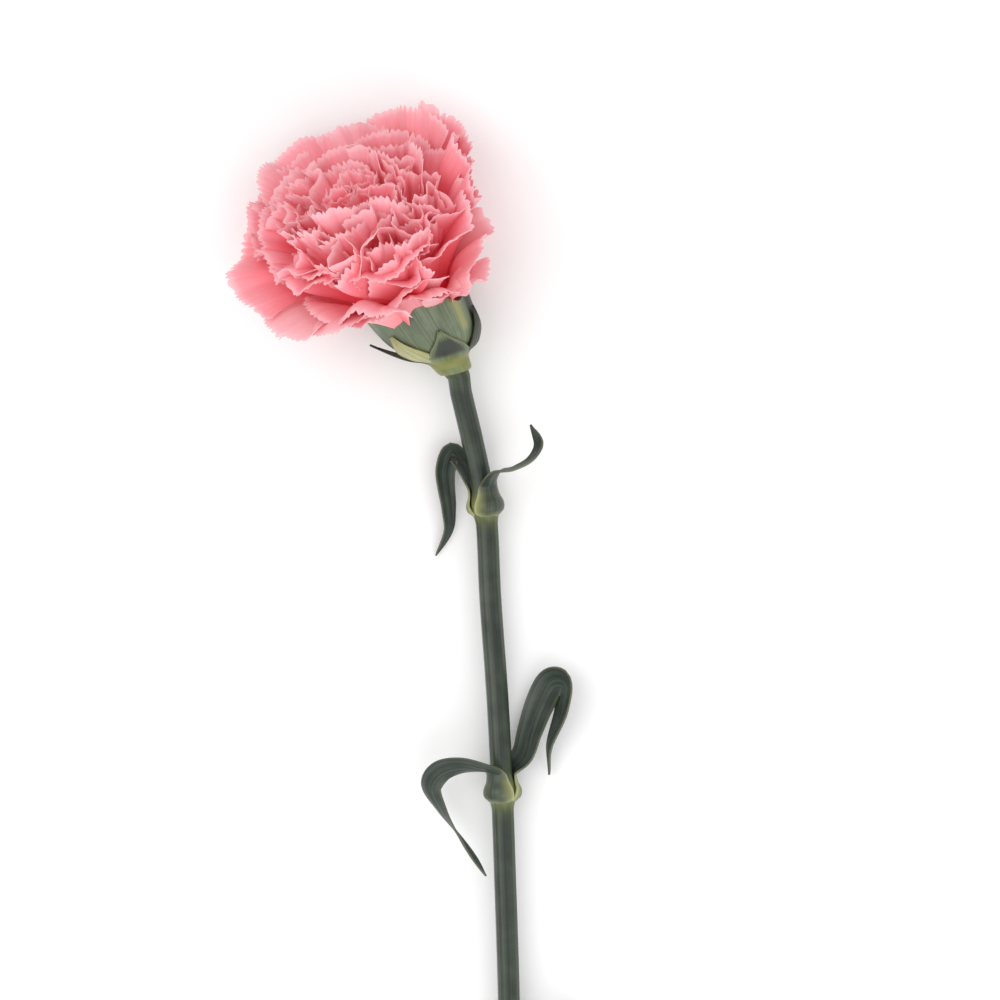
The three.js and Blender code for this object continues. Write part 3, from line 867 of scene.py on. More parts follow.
LEAVES = (
    LeafShape("leaf_top_right", 2, 125, (
        (-2.6, 222.6, 14.2), (1.8, 223.4, 15.6), (6.6, 226, 14.6), (8.4, 230, 12.4),
        (6.2, 235.4, 10.6),
    ), 6.4, 20),
    LeafShape("leaf_top_left", 2, -55, (
        (-12, 225, 2.8), (-14.8, 228, 3.6), (-16.6, 223.6, 4.4), (-15.6, 213, 4), (-15.6, 207.6, 3),
        (-19, 200.7, 1),
    ), 6, -40),
    LeafShape("leaf_middle_left", 1, 58, (
        (-6.6, 144.2, 14.6), (-12, 145, 15), (-17.6, 143.6, 13.6), (-20.4, 139.6, 11.6),
        (-17.6, 133.2, 9.8), (-12.2, 125.6, 9.6), (-5.6, 116, 11.6),
    ), 6.4, 180),
    LeafShape("leaf_middle_right", 1, 219, (
        (4.6, 147, 4.4), (6.4, 153.6, 4.2), (9, 161.2, 4), (12.1, 166.8, 5.2), (15.4, 166.7, 8),
        (15, 160, 8), (11.2, 149.6, 5), (11.2, 142.3, 2.3),
    ), 9.2, 42),
    LeafShape("leaf_bottom_left", 0, -48, (
        (-5.4, 62, 3.2), (-9, 69, 5.4), (-14.6, 74, 6.2), (-21, 73, 4.4), (-25.6, 66, 2.2),
        (-28, 57, 0.9),
    ), 6.8, 25),
    LeafShape("leaf_bottom_right", 0, 132, (
        (5.6, 61, 10.6), (10, 68.6, 12.6), (16.4, 73.6, 11.2), (23.4, 72.4, 7), (28.2, 65.6, 2.9),
        (30.6, 57, 1),
    ), 6.8, -25),
)


@dataclass
class Foliage:
    """Three pairs of leaves, each a sheath that clasps the stem and a channelled, curling blade."""

    stem: Stem
    thickness: float = 0.5
    columns: int = 17
    sheath_rows: int = 12
    sheath_start: float = 2.6
    sheath_length: float = 7.5
    sheath_sweep: float = 2.95
    narrowing: float = 0.39
    gap: float = 0.5
    flare: float = 0.3
    tuck: float = 0.75
    tuck_end: float = 0.2
    bulge: float = 0.7
    hug: float = 0.45
    blade_rows: int = 84
    widths: Table = ((0, 1), (0.12, 0.86), (0.4, 1), (0.7, 0.72), (0.9, 0.34), (1, 0.05))
    corner: float = 0.06
    channel: float = 1.1
    keel_depth: float = 0.22
    keel_width: float = 0.07
    ripple: float = 0.18
    ripple_turns: float = 9.0
    lift: float = 0.02
    pale_sheath: tuple[float, float] = (0.5, 1.3)
    pale_flank: tuple[float, float] = (0.25, 0.9)
    pale_rim: float = 0.82
    pale_foot: float = 1.6
    sheath_tint: tuple[float, float] = (0.25, 0.7)
    rim_tint: tuple[float, float] = (0.12, 0.5)
    foot_tint: float = 0.3
    finish: GreenFinish = GreenFinish(
        "leaf skin",
        dark=rgb(36, 46, 38),
        light=rgb(66, 78, 68),
        accent=rgb(136, 138, 84),
        shadow=rgb(196, 198, 150),
        streaks=(22.0, 0.6, 1.0),
        roughness=0.36,
    )

    def sheath(
        self, leaf: LeafShape, across: Array
    ) -> tuple[list[Array], list[Array], Array, float]:
        """Lays the rows of a leaf that clasp the stem.

        Args:
            leaf: The leaf's shape.
            across: -0.5 to 0.5 from one side of the leaf to the other.

        Returns:
            The rows, the middle point of each, and the last row's way outwards and radius.
        """
        angle = math.radians(leaf.side)
        rows, spine = [], []
        outward, radius = np.zeros(3), 0.0
        for i in range(self.sheath_rows):
            step = i / (self.sheath_rows - 1)
            y = JOINTS_Y[leaf.joint] - self.sheath_start + self.sheath_length * step
            centre, left, up, forward = self.stem.frame_at(y)
            tuck = self.tuck * (1 - float(smooth(0, self.tuck_end, step)))
            bulge = self.bulge * math.sin(math.pi * min(1.0, step * 1.5))
            radius = self.stem.radius_at(y) + self.gap + self.flare * step + bulge - tuck
            outward = left * math.cos(angle) + up * math.sin(angle)
            aside = np.cross(forward, outward)
            turn = across * self.sheath_sweep * (1 - self.narrowing * step)
            close = radius - (bulge + self.hug) * (1 - step) * np.abs(2 * across) ** 3
            rows.append(centre + outward * close * np.cos(turn) + aside * close * np.sin(turn))
            spine.append(centre + outward * radius)
        return rows, spine, outward, radius

    def sheet(self, leaf: LeafShape) -> Array:
        """Works out a leaf's middle surface.

        Args:
            leaf: The leaf's shape.

        Returns:
            Its points in millimetres, shaped (rows, columns, 3), from the sheath's foot to the tip.
        """
        across = np.linspace(-0.5, 0.5, self.columns)[:, None]
        rows, spine, facing, radius = self.sheath(leaf, across)
        line = Line([tuple(spine[-4]), tuple(spine[-1]), *leaf.line])
        starts = float(np.linalg.norm(spine[-1] - spine[-4])) / line.length
        for i in range(1, self.blade_rows + 1):
            share = i / self.blade_rows
            at = mix(starts, 1, share)
            forward = line.forward(at)
            facing = unit(facing - forward * facing.dot(forward))
            twist = math.radians(leaf.twist) * share
            turned = facing * math.cos(twist) + np.cross(forward, facing) * math.sin(twist)
            window = self.corner * min(1, 4 * (1 - share) + 0.05)
            width = leaf.width * float(ease(self.widths, share, window))
            channel = mix(radius, leaf.width * self.channel, min(1.0, share * 3))
            turn = across * width / channel
            keel = -self.keel_depth * np.exp(-((across / self.keel_width) ** 2))
            keel = keel * min(1.0, width / 3)
            ripple = self.ripple * math.sin(self.ripple_turns * share + leaf.side)
            lift = channel * (np.cos(turn) - 1) + keel + ripple * (2 * across) ** 2
            aside = np.cross(forward, turned)
            rows.append(line.at(at) + turned * lift + aside * channel * np.sin(turn))
        points = np.array(rows)
        for point in points[self.sheath_rows :].reshape(-1, 3):
            centre = self.stem.frame_at(point[1])[0]
            reach = self.stem.radius_at(point[1]) + self.gap
            away = point - centre
            if np.linalg.norm(away) < reach:
                point[:] = centre + unit(away) * reach
        points[..., 2] = np.maximum(points[..., 2], self.thickness / 2 + self.lift)
        return points

    def model(self, leaf: LeafShape) -> bpy.types.Object:
        """Models one leaf and marks its pale sheath and rims.

        Args:
            leaf: The leaf's shape.

        Returns:
            The leaf.
        """
        piece = grid_sheet(f"{leaf.name}_blade", self.sheet(leaf))
        count = self.sheath_rows + self.blade_rows
        row, column = np.meshgrid(np.arange(count), np.arange(self.columns), indexing="ij")
        aside = np.abs(2 * column / (self.columns - 1) - 1)
        ends = [self.sheath_rows * share for share in self.pale_sheath]
        sheath = 1 - smooth(*ends, row)
        rim = smooth(self.pale_rim, 1.0, aside)
        foot = 1 - smooth(0, self.pale_foot, row)
        flank = smooth(*self.pale_flank, aside)
        add_value(piece, "accent", sheath * (self.sheath_tint[0] + self.sheath_tint[1] * flank))
        pale = (self.rim_tint[0] + self.rim_tint[1] * sheath) * rim
        add_value(piece, "shade", np.maximum(pale, self.foot_tint * foot))
        give_thickness(piece, self.thickness)
        shade(piece, Shading.CRISP_RIM)
        return piece

    def build(self) -> None:
        """Models and dresses every leaf."""
        finish = self.finish.make()
        for leaf in LEAVES:
            hand_over(self.model(leaf), [leaf.name], finish)


# ------------------------------------------------------------------------------ cup and bracts


@dataclass
class Calyx:
    """The ribbed cup with five pointed teeth."""

    profile: Table = (
        (3.5, 5.9), (4.6, 5.9), (6.4, 6.5), (8.9, 7.8),
        (10.8, 9.8), (12.4, 12.8), (13.3, 16.2), (13.9, 19.6),
    )
    thickness: float = 0.6
    around: int = 240
    wall_rows: int = 40
    wall_share: float = 0.8
    teeth: int = 5
    tooth_rows: int = 16
    tooth_side: float = 36.0
    tooth_height: float = 6.5
    tooth_spread: float = 0.8
    tooth_sides: Triple = (0.25, 0.75, 1.35)
    lip: tuple[float, float] = (0.2, 0.6)
    ribs: int = 110
    rib_depth: float = 0.07
    rib_start: tuple[float, float] = (0.15, 0.4)
    rib_fade: float = 0.6
    inset: float = 0.1
    pale_foot: tuple[float, float] = (6.5, 17.0)
    foot_tint: float = 0.62
    strip_side: float = 136.0
    strip_width: float = 9.0
    strip_rise: tuple[float, float] = (10.0, 14.0)
    strip_tint: float = 0.85
    dark_tip: tuple[float, float] = (22.5, 26.0)
    tip_tint: float = 0.75
    # Painted shade: the side of the cup that lies in shade is darkened towards the near-black
    # shadow colour.
    painted_shade_from: tuple[float, float] = (146.0, 156.0)
    painted_shade_to: tuple[float, float] = (200.0, 240.0)
    painted_shade_rise: tuple[float, float] = (8.0, 11.0)
    painted_shade_tint: float = 0.9
    finish: GreenFinish = GreenFinish(
        "calyx skin",
        dark=rgb(88, 101, 78),
        light=rgb(116, 130, 106),
        # The shadow colour darkens the tooth tips, and is painted shade on the cup's shaded side.
        accent=rgb(158, 158, 100),
        shadow=rgb(34, 38, 26),
        streaks=(150.0, 1.6, 1.0),
    )

    def wall(self) -> Array:
        """Works out the cup's wall with its ribs and teeth.

        Returns:
            Its points in the cup's frame, shaped (rows, columns, 3), from the foot to the teeth.
        """
        turn = np.linspace(0, 2 * math.pi, self.around + 1)
        angle = math.radians(self.tooth_side) + turn
        point = np.abs((turn * self.teeth / (2 * math.pi)) % 1 - 0.5) * 2
        blunt, keen, power = self.tooth_sides
        sharp = blunt * smooth(0, 0.5, point) * point + keen * point**power
        profile = rounded(self.profile, self.wall_rows)
        rows = []
        for k, (radius, height) in enumerate(profile):
            up = self.wall_share * k / self.wall_rows
            rows.append((np.full_like(turn, radius), np.full_like(turn, height), up))
        mouth_radius, mouth_height = profile[-1]
        for k in range(1, self.tooth_rows + 1):
            share = k / self.tooth_rows
            radius = mouth_radius + (self.lip[0] + self.tooth_spread * sharp) * share
            height = mouth_height + (self.lip[1] + self.tooth_height * sharp) * share
            rows.append((radius, height, self.wall_share + (1 - self.wall_share) * share))
        points = []
        for radius, height, up in rows:
            rib = self.rib_depth * np.cos(self.ribs * turn) * smooth(*self.rib_start, up)
            fade = 1 - self.rib_fade * smooth(self.wall_share, 1.0, up)
            radius = radius - self.inset + rib * fade
            ring = [radius * np.cos(angle), radius * np.sin(angle), height]
            points.append(np.stack(ring, axis=-1))
        return np.array(points)

    def model(self) -> bpy.types.Object:
        """Models the cup, and marks its pale foot, pale strip, dark tips and painted shade on one
        side.

        Returns:
            The cup.
        """
        piece = grid_sheet("calyx_cup", place(self.wall(), CALYX), closed=True)
        local, side = seen_from_cup(piece)
        rise = local[:, 2]
        foot = 1 - smooth(*self.pale_foot, rise)
        strip = np.exp(-(((side - self.strip_side) / self.strip_width) ** 2))
        strip = strip * smooth(*self.strip_rise, rise)
        add_value(piece, "accent", np.maximum(self.foot_tint * foot, self.strip_tint * strip))
        tip = smooth(*self.dark_tip, rise)
        # Painted shade on the cup's shaded side, next to the dark bract there.
        painted_shade = smooth(*self.painted_shade_from, side) * (1 - smooth(*self.painted_shade_to, side))
        painted_shade = painted_shade * smooth(*self.painted_shade_rise, rise)
        add_value(piece, "shade", np.maximum(self.tip_tint * tip, self.painted_shade_tint * painted_shade))
        give_thickness(piece, self.thickness)
        shade(piece, Shading.CRISP_RIM)
        return piece

    def build(self) -> None:
        """Models and dresses the cup."""
        hand_over(self.model(), ["calyx"], self.finish.make())


class Skin(Enum):
    """How a bract is coloured."""

    YELLOW = "yellow"
    WITHERED = "withered"
    DARK = "dark"


@dataclass(frozen=True)
class BractShape:
    """One bract: its side, length and width, how far it stands off and peels away, and its skin."""

    side: float
    length: float
    width: float
    outer: float
    peel: float
    skin: Skin


@dataclass
class Epicalyx:
    """The collar round the receptacle, and the bracts that hug the cup."""

    collar: Table = (
        (4.0, 0.5), (4.3, 0.4), (4.62, 0.9), (4.88, 1.8),
        (5.03, 2.8), (5.05, 3.7), (4.95, 4.5), (4.2, 4.8),
    )
    collar_around: int = 72
    collar_waves: float = 3.0
    collar_swell: float = 0.012
    collar_tint: tuple[float, float] = (0.78, 0.2)
    patch_side: float = 62.0
    patch_width: float = 22.0
    patch_top: tuple[float, float] = (4.6, 3.4)
    patch_foot: tuple[float, float] = (0.5, 1.4)
    patch_tint: float = 0.25
    profile: Table = (
        (4.8, 2.4), (5.2, 3.9), (6.9, 5.5), (9.4, 6.95),
        (11.45, 9.3), (13.1, 12.4), (14.05, 15.9), (14.65, 19.4),
    )
    profile_length: float = 21.0
    profile_steps: int = 120
    outline: Table = ((0, 0.8), (0.2, 0.95), (0.4, 1), (0.62, 0.8), (0.82, 0.36), (1, 0.04))
    corner: float = 0.05
    thickness: float = 0.45
    rows: int = 40
    columns: int = 21
    side_dip: float = 0.12
    waves: float = 5.0
    wave_height: float = 0.1
    peel_drop: float = 0.25
    foot_span: tuple[float, float] = (0.15, 0.4)
    tip_span: tuple[float, float] = (0.75, 1.0)
    dry_start: tuple[float, float] = (0.36, 0.52)
    dry_end: tuple[float, float] = (0.78, 0.92)
    dry_side: tuple[float, float] = (0.55, 0.95)
    tip_tint: float = 0.95
    streaks: Triple = (26.0, 0.8, 1.0)
    foot_colour: Colour = rgb(126, 128, 70)
    bracts: tuple[BractShape, ...] = (
        BractShape(47, 17, 12, 0.1, 0.2, Skin.YELLOW),
        BractShape(230, 13.5, 11, 0, 0.2, Skin.YELLOW),
        BractShape(101, 16, 12.5, 0.2, 0.1, Skin.WITHERED),
        BractShape(277, 12, 10, 0.2, 0, Skin.WITHERED),
        BractShape(6, 15, 7.5, 0.6, 2.4, Skin.DARK),
        # Painted shade: this bract's dark skin stands in for the shade on the cup's shaded side
        # beside it.
        BractShape(160, 19, 8.5, 0.2, 0.0, Skin.DARK),
    )

    def finish(self, skin: Skin) -> GreenFinish:
        """Gives the finish of a skin: its accent colours the foot and its shadow the tip.

        Args:
            skin: How the bract is coloured.

        Returns:
            The finish.
        """
        dark, light, tip = {
            Skin.YELLOW: (rgb(150, 150, 102), rgb(186, 184, 138), rgb(150, 148, 104)),
            Skin.WITHERED: (rgb(98, 108, 74), rgb(128, 138, 102), rgb(46, 50, 46)),
            Skin.DARK: (rgb(44, 50, 36), rgb(68, 76, 56), rgb(30, 32, 24)),
        }[skin]
        return GreenFinish(
            f"bract skin {skin.value}", dark, light, self.foot_colour, tip, self.streaks
        )

    def sheet(self, bract: BractShape) -> Array:
        """Works out a bract's middle surface.

        Args:
            bract: The bract's shape.

        Returns:
            Its points in the cup's frame, shaped (rows, columns, 3), from the collar to the tip.
        """
        hug = rounded(self.profile, self.profile_steps)
        steps = np.linalg.norm(np.diff(hug, axis=0), axis=1)
        lengths = np.concatenate([[0.0], np.cumsum(steps)])
        across = np.linspace(-0.5, 0.5, self.columns)
        points = []
        for share in np.linspace(0, 1, self.rows):
            along = share * bract.length / self.profile_length * lengths[-1]
            radius, height = (np.interp(along, lengths, hug[:, k]) for k in range(2))
            away = radius + bract.outer * min(1, share * 3) + bract.peel * share**3
            window = self.corner * min(1, 4 * (1 - share) + 0.02)
            half = bract.width * float(ease(self.outline, share, window)) / 2 / radius
            angle = math.radians(bract.side) + across * 2 * half
            dip = self.side_dip * (2 * across) ** 2 * min(1, share * 4)
            wave = self.wave_height * np.cos(across * 2 * math.pi * self.waves) * share
            out = away - dip + wave
            drop = self.peel_drop * bract.peel * share**3
            up = np.full_like(angle, height - drop)
            points.append(np.stack([out * np.cos(angle), out * np.sin(angle), up], axis=-1))
        return np.array(points)

    def model_bract(self, number: int, bract: BractShape) -> bpy.types.Object:
        """Models one bract, hugging the cup from the collar to its pointed tip.

        Args:
            number: The bract's number, for its name.
            bract: The bract's shape.

        Returns:
            The bract.
        """
        piece = grid_sheet(f"bract_{number}", place(self.sheet(bract), CALYX))
        climb = np.repeat(np.linspace(0, 1, self.rows), self.columns)
        add_value(piece, "accent", 1 - smooth(*self.foot_span, climb))
        tip = smooth(*self.tip_span, climb)
        if bract.skin is Skin.WITHERED:
            aside = np.tile(np.abs(2 * np.linspace(-0.5, 0.5, self.columns)), self.rows)
            tip = smooth(*self.dry_start, climb) * (1 - smooth(*self.dry_end, climb))
            tip = tip * (1 - smooth(*self.dry_side, aside))
        add_value(piece, "shade", self.tip_tint * tip)
        give_thickness(piece, self.thickness)
        shade(piece, Shading.CRISP_RIM)
        return piece

    def model_collar(self) -> bpy.types.Object:
        """Models the collar as a closed ring of a rounded section.

        Returns:
            The collar.
        """
        turn = np.linspace(0, 2 * math.pi, self.collar_around + 1)
        section = np.array([*self.collar, self.collar[0]])
        swell = 1 + self.collar_swell * np.sin(self.collar_waves * turn)
        points = place(revolve(section, turn, swell), CALYX)
        piece = grid_sheet("bract_collar", points, closed=True)
        local, side = seen_from_cup(piece)
        tint = np.sin(np.radians(self.collar_waves * side))
        add_value(piece, "accent", self.collar_tint[0] + self.collar_tint[1] * tint)
        patch = np.exp(-(((side - self.patch_side) / self.patch_width) ** 2))
        for span in (self.patch_top, self.patch_foot):
            patch = patch * smooth(*span, local[:, 2])
        add_value(piece, "shade", self.patch_tint * patch)
        shade(piece, Shading.CRISP_RIM)
        return piece

    def build(self) -> None:
        """Models and dresses the collar and the bracts."""
        finishes = {skin: self.finish(skin).make() for skin in Skin}
        for number, bract in enumerate(self.bracts, 1):
            piece = self.model_bract(number, bract)
            hand_over(piece, ["epicalyx"], finishes[bract.skin])
        hand_over(self.model_collar(), ["epicalyx"], finishes[Skin.WITHERED])


# ------------------------------------------------------------------------------ bloom


@dataclass(frozen=True)
class Ring:
    """What the petals of one ring share, and the spot of each.

    A spot is the petal's side, the reach and rise of its edge, the lean of its edge, its width and
    its roll.
    """

    start: float
    fan: float
    half_angle: float
    wrap: float
    fold: float
    waves: float
    ruffle: float
    pale: float
    guards: bool
    petals: tuple[Spot, ...]


@dataclass
class Petal:
    """One petal's shape; the CAD bloom is cut from the same rule."""

    number: int
    ring: Ring
    side: float
    reach: float
    rise: float
    lean: float
    width: float
    roll: float
    foot: float = -3.0
    foot_lean: tuple[float, float] = (0.3, 24.0)
    foot_pull: float = 0.42
    tip_pull: float = 0.38
    slack: float = 1.08
    fan_share: float = 1.02
    claw_width: float = 1.4
    rounding: tuple[float, float] = (0.1, 0.08)
    fine_fold: tuple[float, float] = (1.9, 0.45)
    ruffles: Table = ((1.7, 1.0), (3.1, 0.5), (6.0, 0.16))
    crumple: float = 0.9
    tooth_depth: tuple[float, float] = (0.5, 1.15)
    tooth_width: tuple[float, float] = (0.9, 2.2)
    slit_draw: float = 0.86
    slit_depth: float = 0.9
    edge_sweep: float = 0.8

    def __post_init__(self) -> None:
        """Works out the petal's middle line and its folds."""
        ring, number = self.ring, self.number
        start = np.array([ring.start, self.foot])
        tip = np.array([self.reach, self.rise])
        stretch = float(np.linalg.norm(tip - start))
        by_reach, most = self.foot_lean
        foot_lean, lean = math.radians(min(most, by_reach * self.reach)), math.radians(self.lean)
        self.middle = (
            start,
            start + self.foot_pull * stretch * np.array([math.sin(foot_lean), math.cos(foot_lean)]),
            tip - self.tip_pull * stretch * np.array([math.sin(lean), math.cos(lean)]),
            tip,
        )
        self.length = self.slack * stretch
        self.fan = min(ring.fan, self.fan_share * stretch)
        self.spread = math.radians(ring.half_angle * self.width)
        self.spin = math.radians(self.roll)
        self.fold = ring.fold * (0.5 + draw(number, 6))
        self.waves = ring.waves + 0.5 * (draw(number, 7) - 0.5)
        self.phase = 2 * math.pi * draw(number, 8)
        self.second_phase = 2 * math.pi * draw(number, 9)
        self.cup = 5 * (draw(number, 10) - 0.4)

    def follow(self, along: Array) -> tuple[Array, Array]:
        """Follows the petal's middle line.

        Args:
            along: Millimetres along the line.

        Returns:
            The line's places, and its directions there, each as (outwards, upwards).
        """
        u = (along / self.length)[..., None]
        a, b, c, d = self.middle
        centre = a * (1 - u) ** 3 + 3 * b * u * (1 - u) ** 2 + 3 * c * u**2 * (1 - u) + d * u**3
        tangent = 3 * (b - a) * (1 - u) ** 2 + 6 * (c - b) * u * (1 - u) + 3 * (d - c) * u**2
        return centre, tangent / np.linalg.norm(tangent, axis=-1, keepdims=True)

    def relief(self, share: Array, across: Array) -> Array:
        """Works out how far the blade's folds, cupping, ruffles and crumples lift it.

        Args:
            share: 0 where the fan starts and 1 at its edge.
            across: -1 to 1 from one side to the other.

        Returns:
            The lift in millimetres.
        """
        number = self.number
        folds = math.pi * self.waves * across + self.phase
        finer, finer_size = self.fine_fold
        finer_folds = math.pi * finer * self.waves * across + self.second_phase
        wave = np.sin(folds) + finer_size * np.sin(finer_folds)
        ruffle = np.zeros_like(across)
        for k, (turns, size) in enumerate(self.ruffles):
            swing = 2 * math.pi * turns * self.width * across + FULL_TURN * draw(number, 20 + k)
            ruffle += size * (0.4 + 1.2 * draw(number, 24 + k)) * np.sin(swing)
        crumple = np.sin(2.8 * across + 4.5 * share + FULL_TURN * draw(number, 34))
        crumple = crumple * np.sin(5.2 * share - 3.2 * across + FULL_TURN * draw(number, 35))
        return (
            self.fold * share**1.25 * wave
            + self.cup * share * across**2
            + self.ring.ruffle * ruffle * share**4
            + self.crumple * crumple * share
        )

    def points(self, reach: Array, across: Array, edge: Array) -> Array:
        """Works out points of the petal's middle surface.

        Args:
            reach: 0 where the fan starts and 1 at its edge; less than 0 down the claw.
            across: -1 to 1 from one side to the other.
            edge: Millimetres that the edge is pushed out by.

        Returns:
            The points in the bloom's frame, shaped as the arguments with 3 added.
        """
        rounding = 1 - self.rounding[0] * across**2 - self.rounding[1] * across**6
        radius = np.maximum(0, reach) * self.fan * rounding + edge
        spread = across * self.spread
        claw = self.length - self.fan
        along = claw * np.where(reach < 0, 1 + reach, 1.0) + radius * np.cos(spread)
        centre, tangent = self.follow(along)
        flat_aside = radius * np.sin(spread) + across * self.claw_width
        flat_lift = self.relief(np.maximum(radius / self.fan, 0), across)
        aside = flat_aside * math.cos(self.spin) - flat_lift * math.sin(self.spin)
        lift = flat_aside * math.sin(self.spin) + flat_lift * math.cos(self.spin)

        out = centre[..., 0] - tangent[..., 1] * lift
        up = centre[..., 1] + tangent[..., 0] * lift
        turn = aside / np.maximum(out, 5)
        x = out + (out * np.cos(turn) - out) * self.ring.wrap
        y = aside + (out * np.sin(turn) - aside) * self.ring.wrap
        cos, sin = math.cos(math.radians(self.side)), math.sin(math.radians(self.side))
        return np.stack([x * cos - y * sin, x * sin + y * cos, up], axis=-1)

    def toothed_edge(self, across: Array) -> Array:
        """Works out the teeth of the petal's edge.

        Args:
            across: -1 to 1 from one side to the other.

        Returns:
            Millimetres that the edge is pushed out by there, which are 0 or less.
        """
        marks, depths = [-1.0], []
        width = self.fan * self.spread
        while marks[-1] < 1.0:
            tooth = self.number * 61 + len(depths)
            depth = mix(*self.tooth_depth, draw(tooth, 31))
            if draw(tooth, 32) > self.slit_draw:
                depth += self.slit_depth
            marks.append(marks[-1] + mix(*self.tooth_width, draw(tooth, 30)) / width)
            depths.append(depth)
        index = np.clip(np.searchsorted(marks, across, side="right") - 1, 0, len(depths) - 1)
        starts, ends = np.array(marks)[index], np.array(marks)[index + 1]
        local = (across - starts) / (ends - starts)
        swing = np.sin(3.4 * across + FULL_TURN * draw(self.number, 33))
        return -self.edge_sweep * (1 + swing) - np.array(depths)[index] * np.abs(2 * local - 1)


def heart_petals(
    count: int,
    reaches: tuple[float, float] = (11, 1.5),
    rises: tuple[float, float] = (44.5, 4),
    leans: tuple[float, float] = (30, 6),
    rolls: float = 150,
) -> tuple[Spot, ...]:
    """Scatters the small petals of the heart, from its rim to its middle.

    Args:
        count: How many there are.
        reaches: The reach of the first and of the last.
        rises: The rise that they vary about, and the range that they vary in.
        leans: The lean of the first and of the last.
        rolls: The range of their rolls, in degrees.

    Returns:
        The spot of each.
    """
    petals = []
    for k in range(count):
        age = (k + 0.5) / count
        reach, rise = mix(*reaches, age**0.8), rises[0] + rises[1] * (draw(k, 50) - 0.5)
        roll = rolls * (draw(k, 51) - 0.5)
        petals.append((k * GOLDEN_ANGLE, reach, rise, mix(*leans, age), 1.0, roll))
    return tuple(petals)


